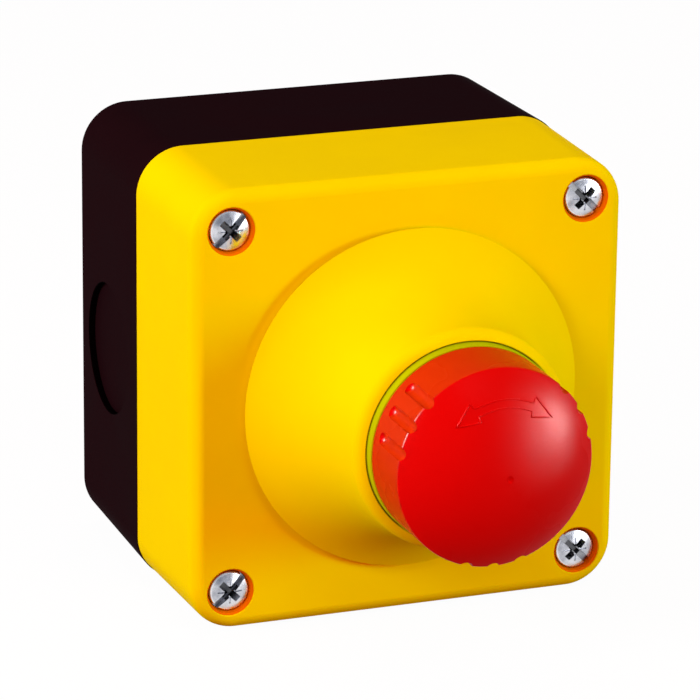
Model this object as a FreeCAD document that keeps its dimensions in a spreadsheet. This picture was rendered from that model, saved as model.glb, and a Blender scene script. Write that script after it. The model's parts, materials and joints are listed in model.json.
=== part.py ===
import FreeCAD, Part
import math
import os
from types import SimpleNamespace

import Sketcher

# Driving dimensions: name, value in millimetres or degrees, and what it measures.
# Every piece is drawn facing up: local z runs from the wall (0) out to the button.
SIZES = (
    ("box_width", 80.0, "outside width at the joint of base and cover"),
    ("box_height", 80.0, "outside height at that joint"),
    ("corner_radius", 8.5, "upright corners of the box"),
    ("base_depth", 33.5, "back face to joint"),
    ("cover_depth", 29.0, "joint to front face"),
    ("joint_step", 0.15, "base proud of the cover, each side"),
    ("base_draft", 0.65, "taper of the base sides, degrees"),
    ("cover_draft", 1.15, "taper of the cover sides, degrees"),
    ("side_wall", 3.0, "side walls of base and cover"),
    ("back_wall", 3.0, "floor of the base"),
    ("front_wall", 3.0, "face of the cover"),
    ("front_round", 2.4, "rounding round the front face"),
    ("back_bevel", 0.8, "bevel round the back face"),
    ("seal_width", 1.3, "enclosure seal, across the wall"),
    ("seal_depth", 1.4, "enclosure seal, into the rim"),
    ("column_inset", 7.45, "box side to screw axis"),
    ("column_radius", 5.0, "corner columns of base and cover"),
    ("screw_radius", 1.75, "cover screw shank"),
    ("screw_head_radius", 3.45, "cover screw head"),
    ("screw_head_height", 2.4, "cover screw head"),
    ("screw_head_bevel", 0.5, "edge of the cover screw head"),
    ("screw_sink", 0.5, "head below the front face"),
    ("screw_grip", 14.0, "screw in the base column"),
    ("screw_clearance", 0.35, "screw in the cover column, radial"),
    ("sink_radius", 4.3, "recess round the screw head"),
    ("entry_radius", 11.85, "cable entry knockout"),
    ("entry_depth", 1.2, "knockout below the side face"),
    ("entry_level", 16.3, "knockout centre from the back face"),
    ("entry_drop", 1.5, "knockout centre below the middle"),
    ("wall_pitch_x", 54.0, "wall screw holes, across"),
    ("wall_pitch_y", 40.0, "wall screw holes, up"),
    ("wall_hole_radius", 2.25, "wall screw hole"),
    ("wall_boss_radius", 4.5, "boss round a wall screw hole"),
    ("wall_boss_rise", 2.0, "boss above the floor"),
    ("rail_rise", 3.0, "contact block rails above the floor"),
    ("rail_width", 4.0, "each rail"),
    ("rail_pitch", 26.0, "rail to rail"),
    ("flare_radius", 30.5, "edge of the flared collar"),
    ("flare_step", 1.7, "that edge above the front face"),
    ("neck_radius", 19.65, "collar where it is narrowest"),
    ("neck_rise", 24.0, "narrowest place above the front face"),
    ("rim_rise", 26.3, "collar rim above the front face"),
    ("rim_round", 2.4, "rounded lip of the rim"),
    ("rim_flat", 0.1, "flat beside the bore at the rim"),
    ("rim_bore", 17.95, "bore of the collar"),
    ("neck_wall", 3.0, "wall of the flare"),
    ("seat_drop", 11.3, "rim to the seat of the actuator"),
    ("seat_wall", 3.0, "web that carries the actuator"),
    ("panel_hole_radius", 11.25, "hole for a 22 mm actuator"),
    ("key_width", 3.0, "key against turning"),
    ("key_reach", 12.7, "tip of the key from the axis"),
    ("fit_clearance", 0.05, "pieces that are pushed or screwed together"),
    ("slide_clearance", 0.2, "pieces that slide or turn in each other"),
    ("actuator_seal_height", 0.8, "seal under the actuator flange"),
    ("flange_radius", 16.0, "actuator flange"),
    ("flange_height", 4.5, "actuator flange"),
    ("tube_radius", 10.95, "threaded tube of the actuator"),
    ("tube_length", 22.3, "tube below the flange"),
    ("tube_bore", 8.4, "bore of the tube"),
    ("tube_lip", 2.0, "end web of the tube"),
    ("cam_recess_inner", 9.4, "ring recess for the release lugs"),
    ("cam_recess_outer", 12.2, "ring recess for the release lugs"),
    ("cam_recess_depth", 3.6, "ring recess for the release lugs"),
    ("nut_radius", 15.0, "lock nut"),
    ("nut_height", 6.0, "lock nut"),
    ("nut_notch_width", 4.0, "notch for the nut key"),
    ("nut_notch_depth", 1.6, "notch for the nut key"),
    ("press_travel", 6.0, "push of the button"),
    ("stem_radius", 5.0, "lower stem"),
    ("spring_gap", 16.0, "room for the return spring at rest"),
    ("spring_radius", 6.7, "return spring, middle of the wire"),
    ("spring_wire", 0.55, "return spring, half the wire"),
    ("collar_radius", 8.2, "stem collar in the tube"),
    ("collar_height", 4.5, "stem collar"),
    ("stem_seal_depth", 1.3, "stem seal groove in the collar"),
    ("stem_seal_height", 1.4, "stem seal"),
    ("post_radius", 6.1, "upper post of the stem"),
    ("post_room", 2.7, "post end below the cam flange"),
    ("ridge_radius", 6.75, "latch ridge on the post"),
    ("ridge_height", 1.2, "latch ridge"),
    ("twist_seat_rise", 9.5, "twist spring seat above the collar"),
    ("twist_seat_height", 1.2, "twist spring seat"),
    ("twist_radius", 7.4, "twist spring, middle of the wire"),
    ("twist_wire", 0.4, "twist spring, half the wire"),
    ("twist_height", 4.2, "twist spring"),
    ("hub_radius", 4.0, "button hub in the post"),
    ("hub_groove_radius", 3.2, "groove for the snap ring"),
    ("snap_height", 0.9, "snap rings, thickness"),
    ("snap_gap_angle", 50.0, "opening of the snap rings, degrees"),
    ("stem_groove_radius", 3.9, "groove in the stem"),
    ("stem_ring_radius", 7.0, "outside of the stem ring"),
    ("foot_drop", 10.0, "push foot below the tube"),
    ("foot_half_length", 12.0, "push foot"),
    ("foot_half_width", 5.0, "push foot"),
    ("foot_thickness", 3.0, "push foot bar"),
    ("foot_floor", 1.5, "push foot under the stem"),
    ("foot_boss_radius", 7.6, "push foot boss"),
    ("foot_gap", 0.3, "push foot to contact plunger at rest"),
    ("foot_clearance", 0.5, "push foot to contact block, pressed"),
    ("pin_radius", 1.0, "push foot pin"),
    ("latch_wire", 0.5, "latch spring, half the wire"),
    ("latch_offset", 6.9, "latch legs from the axis"),
    ("latch_bend", 6.5, "start of the latch bend"),
    ("latch_tail", 13.0, "free ends of the latch legs"),
    ("latch_room", 0.15, "latch wire in its slot, each side"),
    ("button_radius", 17.4, "button skirt and dome edge"),
    ("button_rise", 39.5, "dome edge above the front face"),
    ("dome_rise", 6.5, "dome above its edge"),
    ("dome_edge_round", 0.7, "rounding of the dome edge"),
    ("button_wall", 2.0, "button shell"),
    ("ring_show", 1.7, "position ring seen above the rim"),
    ("ring_radius", 17.5, "position ring"),
    ("ring_wall", 1.3, "position ring"),
    ("ring_skirt", 6.5, "position ring, whole height"),
    ("ring_web", 1.3, "web of the position ring"),
    ("spigot_wall", 1.4, "ring spigot in the button"),
    ("spigot_height", 4.0, "ring spigot in the button"),
    ("groove_radius", 1.25, "finger groove"),
    ("groove_offset", 0.3, "groove centre outside the skirt"),
    ("groove_start", 3.4, "groove end above the position ring"),
    ("groove_pitch", 16.0, "groove to groove, degrees"),
    ("groove_first", 134.0, "first groove, degrees from the right"),
    ("rib_outer", 13.0, "seat for the cam under the dome"),
    ("rib_wall", 1.6, "seat for the cam under the dome"),
    ("rib_level", 7.2, "seat below the dome top"),
    ("cam_flange", 1.6, "release cam flange"),
    ("cam_tube_outer", 11.6, "release cam tube"),
    ("cam_tube_wall", 1.8, "release cam tube"),
    ("cam_tube_height", 8.0, "release cam tube"),
    ("lug_half_angle", 14.0, "release lug, degrees each side"),
    ("block_pitch", 11.0, "contact block to contact block"),
    ("block_width", 10.6, "contact block with its lid"),
    ("block_half_height", 21.0, "contact block"),
    ("block_wall", 1.4, "contact block walls"),
    ("lid_thickness", 1.2, "contact block lid"),
    ("slider_half_width", 2.7, "contact plunger"),
    ("slider_half_height", 4.0, "contact plunger"),
    ("slider_drop", 20.5, "contact plunger end below the block top"),
    ("slider_nose", 2.0, "spring nose of the plunger and the block"),
    ("nose_radius", 1.5, "spring nose of the plunger and the block"),
    ("contact_spring_radius", 2.2, "contact spring, middle of the wire"),
    ("contact_spring_wire", 0.35, "contact spring, half the wire"),
    ("strip_drop", 8.5, "terminal strip below the block top"),
    ("strip_thickness", 1.0, "terminal strip"),
    ("strip_width", 4.4, "terminal strip"),
    ("strip_bite", 0.9, "terminal strip in the block end"),
    ("low_strip_drop", 20.5, "lower contact strip below the block top"),
    ("tip_pitch", 19.2, "contact tip to contact tip"),
    ("tip_radius", 1.4, "contact tip"),
    ("tip_height", 0.6, "contact tip"),
    ("tip_margin", 1.8, "strip past the tip"),
    ("contact_gap", 0.1, "closed contact at rest"),
    ("stroke_gap", 0.3, "open contact when pressed"),
    ("bridge_thickness", 0.8, "contact bridge"),
    ("bridge_width", 4.0, "contact bridge"),
    ("terminal_pitch", 31.0, "terminal to terminal"),
    ("clamp_width", 6.6, "cage clamp, across"),
    ("clamp_length", 5.6, "cage clamp, along the wire"),
    ("clamp_height", 5.6, "cage clamp"),
    ("clamp_wall", 1.0, "cage clamp"),
    ("terminal_screw_radius", 1.6, "terminal screw"),
    ("terminal_head_radius", 2.8, "terminal screw head"),
    ("terminal_head_height", 2.2, "terminal screw head"),
    ("terminal_screw_reach", 3.2, "terminal screw below the strip"),
)
FINGER_GROOVES = 3
GROOVE_GROUPS = 3
NUT_NOTCHES = 6
RELEASE_LUGS = 2
RETURN_COILS = 5
TWIST_COILS = 3
CONTACT_COILS = 5
COIL_SECTIONS = 12
FULL_TURN = 360.0

# Spring wire is drawn with six flat sides, to stay light: corners for a wire of radius 1.
HALF_SIDE = 1 / math.sqrt(3)
WIRE_CORNERS = ((2 * HALF_SIDE, 0), (HALF_SIDE, 1), (-HALF_SIDE, 1),
                (-2 * HALF_SIDE, 0), (-HALF_SIDE, -1), (HALF_SIDE, -1))

# The wall is behind the object: local z turns to face the viewer, local y turns up.
FACING = FreeCAD.Rotation(FreeCAD.Vector(1, 0, 0), 90)
SIDES = (-1, 1)

doc = FreeCAD.newDocument("emergency_stop_station")
sheet = doc.addObject("Spreadsheet::Sheet", "Sizes")


class Size:
    """A length or an angle: its value and the sheet expression that gives it."""

    def __init__(self, value, text):
        self.value = value
        self.text = text

    def __add__(self, other):
        other = as_size(other)
        return Size(self.value + other.value, f"({self.text} + {other.text})")

    def __sub__(self, other):
        other = as_size(other)
        return Size(self.value - other.value, f"({self.text} - {other.text})")

    def __mul__(self, other):
        other = as_size(other)
        return Size(self.value * other.value, f"({self.text} * {other.text})")

    def __truediv__(self, other):
        other = as_size(other)
        return Size(self.value / other.value, f"({self.text} / {other.text})")

    def __rmul__(self, other):
        return as_size(other) * self

    def __neg__(self):
        return Size(-self.value, f"(-1 * {self.text})")


def as_size(number):
    """A plain number as a size, so that both can stand in one formula."""
    if isinstance(number, Size):
        return number
    return Size(float(number), f"({float(number)})")


def square_root(size):
    return Size(math.sqrt(size.value), f"sqrt({size.text})")


def sine(angle):
    return Size(math.sin(math.radians(angle.value)), f"sin({angle.text} * 1 deg)")


def cosine(angle):
    return Size(math.cos(math.radians(angle.value)), f"cos({angle.text} * 1 deg)")


def tangent(angle):
    return Size(math.tan(math.radians(angle.value)), f"tan({angle.text} * 1 deg)")


def fill_sheet():
    """Writes the driving dimensions to the sheet and returns them by name."""
    named = {}
    for row, (alias, value, meaning) in enumerate(SIZES, start=1):
        sheet.set(f"A{row}", meaning)
        sheet.set(f"B{row}", str(value))
        sheet.setAlias(f"B{row}", alias)
        named[alias] = Size(value, f"Sizes.{alias}")
    doc.recompute()
    return SimpleNamespace(**named)


mm = fill_sheet()

# Levels along the button axis, from the wall outwards.
joint = mm.base_depth
front = joint + mm.cover_depth
face_inside = front - mm.front_wall
flare_edge = front + mm.flare_step
crease = front + mm.neck_rise
rim = front + mm.rim_rise
seat_top = rim - mm.seat_drop
seat_under = seat_top - mm.seat_wall
flange_under = seat_top + mm.actuator_seal_height
flange_top = flange_under + mm.flange_height
tube_end = flange_under - mm.tube_length
lip_top = tube_end + mm.tube_lip
recess_floor = flange_top - mm.cam_recess_depth
latch_level = recess_floor + mm.latch_wire + mm.latch_wire + mm.fit_clearance
collar_under = lip_top + mm.spring_gap
collar_top = collar_under + mm.collar_height
ridge_top = latch_level - mm.latch_wire + mm.press_travel - mm.stroke_gap
ridge_under = ridge_top - mm.ridge_height
twist_seat_under = collar_top + mm.twist_seat_rise
twist_seat_top = twist_seat_under + mm.twist_seat_height
snap_under = twist_seat_top + mm.snap_height
hub_end = collar_top + mm.snap_height
foot_under = tube_end - mm.foot_drop
stem_end = foot_under + mm.foot_floor
stem_ring_top = tube_end - mm.slide_clearance - mm.fit_clearance
stem_ring_under = stem_ring_top - mm.snap_height
foot_boss_top = stem_ring_under - mm.slide_clearance
pin_level = (foot_boss_top + foot_under + mm.foot_thickness) / 2
skirt_under = rim + mm.ring_show
dome_edge = front + mm.button_rise
dome_top = dome_edge + mm.dome_rise
ring_under = skirt_under - mm.ring_skirt
cam_seat = dome_top - mm.rib_level
cam_flange_under = cam_seat - mm.cam_flange
post_top = cam_flange_under - mm.post_room
lug_end = recess_floor + mm.press_travel + mm.slide_clearance / 2
block_under = mm.back_wall + mm.rail_rise
block_top = foot_under - mm.press_travel - mm.foot_clearance
block_floor = block_under + mm.block_wall
slider_top = foot_under - mm.foot_gap
slider_under = block_top - mm.slider_drop
strip_top = block_top - mm.strip_drop
strip_under = strip_top - mm.strip_thickness
low_strip_top = block_top - mm.low_strip_drop
low_strip_under = low_strip_top - mm.strip_thickness

# Widths and offsets shared by more than one piece.
half_width = mm.box_width / 2
half_height = mm.box_height / 2
seal_inset = (mm.side_wall - mm.seal_width) / 2
screw_x = half_width - mm.column_inset
screw_y = half_height - mm.column_inset
screw_places = [(i * screw_x, k * screw_y) for i in SIDES for k in SIDES]
screw_seat = front - mm.screw_sink - mm.screw_head_height
flare_run = mm.flare_radius - mm.neck_radius
flare_height = mm.neck_rise - mm.flare_step
flare_sweep = (flare_run * flare_run + flare_height * flare_height) / (2 * flare_run)
flare_centre = mm.neck_radius + flare_sweep
hollow_sweep = flare_sweep + mm.neck_wall
dome_sweep = (mm.button_radius * mm.button_radius + mm.dome_rise * mm.dome_rise) / (2 * mm.dome_rise)
dome_centre = dome_top - dome_sweep
skirt_bore = mm.button_radius - mm.button_wall
spigot_outer = skirt_bore - mm.fit_clearance
stem_bore = mm.stem_radius + mm.slide_clearance
hub_bore = mm.hub_radius + mm.slide_clearance / 2
snap_outer = hub_bore + mm.button_wall / 4
tip_y = mm.tip_pitch / 2
terminal_y = mm.terminal_pitch / 2
strip_reach = mm.block_half_height - mm.block_wall + mm.strip_bite
bridge_reach = tip_y + mm.tip_margin

sub_parts = []


def new_body(name, several=False):
    """An empty sub-part, facing the viewer; several lets it hold separate solids."""
    body = doc.addObject("PartDesign::Body", name)
    body.Label = name
    body.AllowCompound = several
    body.Placement = FreeCAD.Placement(FreeCAD.Vector(), FACING)
    sub_parts.append(body)
    return body


def new_sketch(body, name, plane="XY_Plane", level=None, turn=None):
    """A sketch on one of the body's origin planes, moved along the normal or turned about the axis."""
    sketch = body.newObject("Sketcher::SketchObject", name)
    support = [f for f in body.Origin.OriginFeatures if f.Role == plane][0]
    sketch.AttachmentSupport = [(support, "")]
    sketch.MapMode = "FlatFace"
    if level is not None:
        sketch.AttachmentOffset = FreeCAD.Placement(
            FreeCAD.Vector(0, 0, level.value), FreeCAD.Rotation())
        sketch.setExpression(".AttachmentOffset.Base.z", level.text)
    if turn is not None:
        sketch.AttachmentOffset = FreeCAD.Placement(
            FreeCAD.Vector(), FreeCAD.Rotation(FreeCAD.Vector(0, 1, 0), turn.value))
        sketch.setExpression(".AttachmentOffset.Rotation.Angle", turn.text)
    return sketch


def bind(sketch, kind, *where, size):
    """Adds one driving constraint, bound to the sheet."""
    index = sketch.addConstraint(Sketcher.Constraint(kind, *where, size.value))
    sketch.setExpression(f"Constraints[{index}]", size.text)


def place(sketch, edge, end, x, y):
    """Holds a point of an edge at x, y; a plain 0 puts it on the axis."""
    for kind, axis, size in (("DistanceX", -2, x), ("DistanceY", -1, y)):
        if isinstance(size, Size):
            bind(sketch, kind, -1, 1, edge, end, size=size)
        else:
            sketch.addConstraint(Sketcher.Constraint("PointOnObject", edge, end, axis))


def arc_edge(start, end, radius, turn):
    """The short arc from start to end; turn is 1 where it bends left and -1 where it bends right."""
    chord = end - start
    reach = math.sqrt(max(radius ** 2 - (chord.Length / 2) ** 2, 0.0))
    left = FreeCAD.Vector(-chord.y, chord.x, 0).normalize()
    centre = (start + end) / 2 + left * (reach * turn)
    first, last = (start, end) if turn > 0 else (end, start)
    from_angle = math.atan2(first.y - centre.y, first.x - centre.x)
    to_angle = math.atan2(last.y - centre.y, last.x - centre.x)
    circle = Part.Circle(centre, FreeCAD.Vector(0, 0, 1), radius)
    return Part.ArcOfCircle(circle, from_angle, to_angle)


def draw_outline(sketch, corners):
    """A closed loop. A corner is (x, y), or (x, y, radius, turn) where an arc leaves it."""
    points = [FreeCAD.Vector(as_size(c[0]).value, as_size(c[1]).value, 0) for c in corners]
    heads = []
    tails = []
    for corner, start, end in zip(corners, points, points[1:] + points[:1]):
        if len(corner) == 2:
            edge = sketch.addGeometry(Part.LineSegment(start, end))
            ends = (1, 2)
        else:
            edge = sketch.addGeometry(arc_edge(start, end, corner[2].value, corner[3]))
            ends = (1, 2) if corner[3] > 0 else (2, 1)
        heads.append((edge, ends[0]))
        tails.append((edge, ends[1]))
    for tail, head in zip(tails, heads[1:] + heads[:1]):
        sketch.addConstraint(Sketcher.Constraint("Coincident", *tail, *head))
    for head, corner in zip(heads, corners):
        place(sketch, *head, corner[0], corner[1])
    for head, corner in zip(heads, corners):
        if len(corner) > 2:
            bind(sketch, "Radius", head[0], size=corner[2])


def draw_circle(sketch, x, y, radius):
    centre = FreeCAD.Vector(as_size(x).value, as_size(y).value, 0)
    circle = sketch.addGeometry(Part.Circle(centre, FreeCAD.Vector(0, 0, 1), radius.value))
    place(sketch, circle, 3, x, y)
    bind(sketch, "Radius", circle, size=radius)


def draw_axis(sketch, x):
    """An upright construction line at x, to turn a profile about."""
    top = FreeCAD.Vector(x.value, 1, 0)
    line = sketch.addGeometry(Part.LineSegment(FreeCAD.Vector(x.value, 0, 0), top), True)
    place(sketch, line, 1, x, 0)
    sketch.addConstraint(Sketcher.Constraint("Vertical", line))
    bind(sketch, "Distance", line, size=as_size(1))


def rectangle(x0, y0, x1, y1):
    return [(x0, y0), (x1, y0), (x1, y1), (x0, y1)]


def rounded_rectangle(half_x, half_y, radius):
    """Corners of a rounded rectangle about the axis, counter-clockwise."""
    x = half_x - radius
    y = half_y - radius
    return [(-x, -half_y), (x, -half_y, radius, 1),
            (half_x, -y), (half_x, y, radius, 1),
            (x, half_y), (-x, half_y, radius, 1),
            (-half_x, y), (-half_x, -y, radius, 1)]


def pad(body, sketch, length, name, back=False, draft=None, middle=False):
    """Adds material along the sketch normal, or against it with back."""
    feature = body.newObject("PartDesign::Pad", name)
    return extrude(feature, sketch, length, back, draft, middle)


def pocket(body, sketch, length, name, back=False, draft=None, middle=False):
    """Cuts against the sketch normal, or along it with back."""
    feature = body.newObject("PartDesign::Pocket", name)
    return extrude(feature, sketch, length, back, draft, middle)


def extrude(feature, sketch, length, back, draft, middle):
    feature.Profile = sketch
    feature.Length = length.value
    feature.setExpression("Length", length.text)
    feature.Reversed = back
    if middle:
        feature.SideType = "Symmetric"
    if draft is not None:
        feature.setExpression("TaperAngle", (-draft).text)
    doc.recompute()
    return feature


def revolve(body, sketch, name, axis="V_Axis", cut=False, angle=FULL_TURN):
    """Turns a profile about an axis of its sketch, adding or cutting."""
    kind = "PartDesign::Groove" if cut else "PartDesign::Revolution"
    feature = body.newObject(kind, name)
    feature.Profile = sketch
    feature.ReferenceAxis = (sketch, [axis])
    if isinstance(angle, Size):
        feature.setExpression("Angle", angle.text)
    else:
        feature.Angle = angle
    doc.recompute()
    return feature


def turned(body, name, corners, cut=False, angle=FULL_TURN):
    """Revolves a closed outline of (radius, level) corners about the button axis."""
    sketch = new_sketch(body, f"{name}_profile", "XZ_Plane")
    draw_outline(sketch, corners)
    return revolve(body, sketch, name, cut=cut, angle=angle)


def repeat_round(body, originals, count, name):
    """Copies features evenly about the button axis."""
    pattern = body.newObject("PartDesign::PolarPattern", name)
    pattern.Originals = originals
    pattern.Axis = (originals[0].Profile[0], ["V_Axis" if is_upright(originals[0]) else "N_Axis"])
    pattern.Angle = FULL_TURN
    pattern.Occurrences = count
    body.Tip = pattern
    doc.recompute()
    return pattern


def is_upright(feature):
    """True where the feature's sketch holds the button axis in its plane."""
    support = feature.Profile[0].AttachmentSupport[0][0]
    return support.Role != "XY_Plane"


def edge_names(feature, chosen):
    """Names of the edges of a feature that the chosen test picks."""
    return [f"Edge{i}" for i, edge in enumerate(feature.Shape.Edges, start=1) if chosen(edge)]


def round_edges(body, feature, radius, chosen, name):
    rounding = body.newObject("PartDesign::Fillet", name)
    rounding.Base = (feature, edge_names(feature, chosen))
    rounding.Radius = radius.value
    rounding.setExpression("Radius", radius.text)
    doc.recompute()
    return rounding


def bevel_edges(body, feature, size, chosen, name):
    bevel = body.newObject("PartDesign::Chamfer", name)
    bevel.Base = (feature, edge_names(feature, chosen))
    bevel.Size = size.value
    bevel.setExpression("Size", size.text)
    doc.recompute()
    return bevel


def lies_at(level):
    """A test for edges that lie flat at one level."""
    return lambda edge: all(abs(v.Z - level.value) < 1e-4 for v in edge.Vertexes) and \
        abs(edge.CenterOfMass.z - level.value) < 1e-4


def dome_inside(radius):
    """Level of the button's inner dome at a radius from the axis."""
    inner = dome_sweep - mm.button_wall
    return dome_centre + square_root(inner * inner - radius * radius)


def hollow_radius(level):
    """Radius of the collar's inner flare at a level."""
    drop = crease - level
    return flare_centre - square_root(hollow_sweep * hollow_sweep - drop * drop)


def build_enclosure_base():
    """Black back box: drafted shell, corner columns, cable knockouts, wall holes and rails."""
    body = new_body("enclosure_base")
    outline = new_sketch(body, "base_outline", level=joint)
    draw_outline(outline, rounded_rectangle(half_width, half_height, mm.corner_radius))
    block = pad(body, outline, mm.base_depth, "base_block", back=True, draft=mm.base_draft)
    bevel_edges(body, block, mm.back_bevel, lies_at(as_size(0)), "base_back_bevel")

    cavity = new_sketch(body, "base_cavity_outline", level=joint)
    draw_outline(cavity, rounded_rectangle(
        half_width - mm.side_wall, half_height - mm.side_wall, mm.corner_radius - mm.side_wall))
    pocket(body, cavity, mm.base_depth - mm.back_wall, "base_cavity", draft=mm.base_draft)

    columns = new_sketch(body, "base_column_outline", level=joint)
    for x, y in screw_places:
        draw_circle(columns, x, y, mm.column_radius)
    pad(body, columns, mm.base_depth - mm.back_wall / 2, "base_columns", back=True)

    rails = new_sketch(body, "rail_outline", level=mm.back_wall / 2)
    rail_end = mm.block_pitch / 2 + mm.block_width / 2
    for side in SIDES:
        middle = side * mm.rail_pitch / 2
        draw_outline(rails, rectangle(
            -rail_end, middle - mm.rail_width / 2, rail_end, middle + mm.rail_width / 2))
    pad(body, rails, mm.back_wall / 2 + mm.rail_rise, "rails")

    bosses = new_sketch(body, "wall_boss_outline", level=mm.back_wall / 2)
    holes = new_sketch(body, "wall_hole_outline")
    for i in SIDES:
        for k in SIDES:
            x = i * mm.wall_pitch_x / 2
            y = k * mm.wall_pitch_y / 2
            draw_circle(bosses, x, y, mm.wall_boss_radius)
            draw_circle(holes, x, y, mm.wall_hole_radius)
    pad(body, bosses, mm.back_wall / 2 + mm.wall_boss_rise, "wall_bosses")
    pocket(body, holes, mm.back_wall + mm.wall_boss_rise, "wall_holes", back=True)

    pilots = new_sketch(body, "pilot_outline", level=joint)
    for x, y in screw_places:
        draw_circle(pilots, x, y, mm.screw_radius + mm.fit_clearance)
    pocket(body, pilots, mm.screw_grip + mm.screw_radius, "pilot_holes")

    seal = new_sketch(body, "seal_groove_outline", level=joint)
    draw_seal(seal, as_size(0))
    pocket(body, seal, mm.seal_depth, "seal_groove")

    taper = (joint - mm.entry_level) * tangent(mm.base_draft)
    for side, word in zip(SIDES, ("left", "right")):
        entry = new_sketch(body, f"{word}_entry_outline", "YZ_Plane", level=side * half_width)
        draw_circle(entry, -mm.entry_drop, mm.entry_level, mm.entry_radius)
        pocket(body, entry, mm.entry_depth + taper, f"{word}_entry", back=side < 0)


def draw_seal(sketch, play):
    """The enclosure seal's ring between two rounded rectangles, thinner by play on each side."""
    for inset in (seal_inset + play, seal_inset + mm.seal_width - play):
        draw_outline(sketch, rounded_rectangle(
            half_width - inset, half_height - inset, mm.corner_radius - inset))


def build_enclosure_seal():
    """Rubber cord in the rim of the base."""
    body = new_body("enclosure_seal")
    ring = new_sketch(body, "seal_outline", level=joint)
    draw_seal(ring, mm.fit_clearance)
    pad(body, ring, mm.seal_depth, "seal_ring", back=True)


def build_cover():
    """Yellow front: drafted shell with the flared collar, its seat, and the screw recesses."""
    body = new_body("cover")
    outline = new_sketch(body, "cover_outline", level=joint)
    draw_outline(outline, rounded_rectangle(
        half_width - mm.joint_step, half_height - mm.joint_step, mm.corner_radius - mm.joint_step))
    block = pad(body, outline, mm.cover_depth, "cover_block", draft=mm.cover_draft)
    round_edges(body, block, mm.front_round, lies_at(front), "front_rounding")

    inset = mm.side_wall + mm.joint_step
    cavity = new_sketch(body, "cover_cavity_outline", level=joint)
    draw_outline(cavity, rounded_rectangle(
        half_width - inset, half_height - inset, mm.corner_radius - inset))
    pocket(body, cavity, mm.cover_depth - mm.front_wall, "cover_cavity", back=True, draft=mm.cover_draft)

    columns = new_sketch(body, "cover_column_outline", level=joint)
    for x, y in screw_places:
        draw_circle(columns, x, y, mm.column_radius)
    pad(body, columns, mm.cover_depth - mm.front_wall / 2, "cover_columns")

    foot = mm.flare_radius + mm.flare_step
    under = front - mm.front_wall / 2
    turned(body, "collar", [
        (0, under), (foot, under), (foot, front),
        (mm.flare_radius, flare_edge, flare_sweep, -1),
        (mm.neck_radius, crease, mm.rim_round, 1),
        (mm.rim_bore + mm.rim_flat, rim), (0, rim)])
    above = rim + mm.rim_round
    below = face_inside - mm.front_wall / 2
    halfway = (below + seat_under) / 2
    turned(body, "collar_hollow", [
        (0, below), (hollow_radius(below), below), (hollow_radius(halfway), halfway),
        (hollow_radius(seat_under), seat_under), (mm.panel_hole_radius, seat_under),
        (mm.panel_hole_radius, seat_top), (mm.rim_bore, seat_top),
        (mm.rim_bore, above), (0, above)], cut=True)

    keyway = new_sketch(body, "keyway_outline", level=seat_top)
    half_key = mm.key_width / 2 + mm.slide_clearance
    draw_outline(keyway, rectangle(
        -half_key, mm.panel_hole_radius / 2, half_key, mm.key_reach + mm.slide_clearance))
    pocket(body, keyway, mm.seat_wall, "keyway")

    shafts = new_sketch(body, "screw_shaft_outline", level=front)
    sinks = new_sketch(body, "screw_sink_outline", level=front)
    for x, y in screw_places:
        draw_circle(shafts, x, y, mm.screw_radius + mm.screw_clearance)
        draw_circle(sinks, x, y, mm.sink_radius)
    pocket(body, shafts, mm.cover_depth, "screw_shafts")
    pocket(body, sinks, front - screw_seat, "screw_sinks")


def build_cover_screws():
    """Four pan-head screws through the cover columns into the base."""
    body = new_body("cover_screws", several=True)
    screw_end = joint - mm.screw_grip
    head_top = screw_seat + mm.screw_head_height
    for number, (x, y) in enumerate(screw_places, start=1):
        profile = new_sketch(body, f"screw_profile_{number}", "XZ_Plane", level=-y)
        draw_axis(profile, x)
        edge = x + mm.screw_head_radius
        draw_outline(profile, [
            (x, screw_end), (x + mm.screw_radius, screw_end), (x + mm.screw_radius, screw_seat),
            (edge, screw_seat), (edge, head_top - mm.screw_head_bevel),
            (edge - mm.screw_head_bevel, head_top), (x, head_top)])
        revolve(body, profile, f"screw_{number}", axis="Axis0")


def build_actuator_body():
    """Fixed actuator: flange in the collar, tube through the 22 mm hole, slot for the latch spring."""
    body = new_body("actuator_body")
    turned(body, "actuator_turning", [
        (stem_bore, tube_end), (mm.tube_radius, tube_end), (mm.tube_radius, flange_under),
        (mm.flange_radius, flange_under), (mm.flange_radius, flange_top),
        (mm.cam_recess_outer, flange_top), (mm.cam_recess_outer, recess_floor),
        (mm.cam_recess_inner, recess_floor), (mm.cam_recess_inner, flange_top),
        (mm.tube_bore, flange_top), (mm.tube_bore, lip_top), (stem_bore, lip_top)])
    key = new_sketch(body, "key_outline", level=seat_under)
    half_key = mm.key_width / 2
    draw_outline(key, rectangle(-half_key, mm.cam_recess_inner, half_key, mm.key_reach))
    pad(body, key, flange_under - seat_under, "key")
    slot = new_sketch(body, "latch_slot_outline", level=flange_top)
    half = mm.latch_wire + mm.latch_room
    outer = mm.latch_offset + half
    inner = mm.latch_offset - half
    tail = -mm.latch_tail - mm.latch_room
    draw_outline(slot, [
        (tail, -outer), (mm.latch_bend, -outer, outer, 1),
        (mm.latch_bend + outer, 0, outer, 1), (mm.latch_bend, outer),
        (tail, outer), (tail, inner), (mm.latch_bend, inner, inner, -1),
        (mm.latch_bend + inner, 0, inner, -1), (mm.latch_bend, -inner), (tail, -inner)])
    pocket(body, slot, flange_top - latch_level + mm.latch_wire, "latch_slot")


def build_actuator_seal():
    """Flat rubber ring between the collar's seat and the actuator flange."""
    body = new_body("actuator_seal")
    inner = mm.key_reach + 2 * mm.slide_clearance
    outer = mm.flange_radius - mm.slide_clearance
    turned(body, "seal_disc", [
        (inner, seat_top), (outer, seat_top), (outer, flange_under), (inner, flange_under)])


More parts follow.
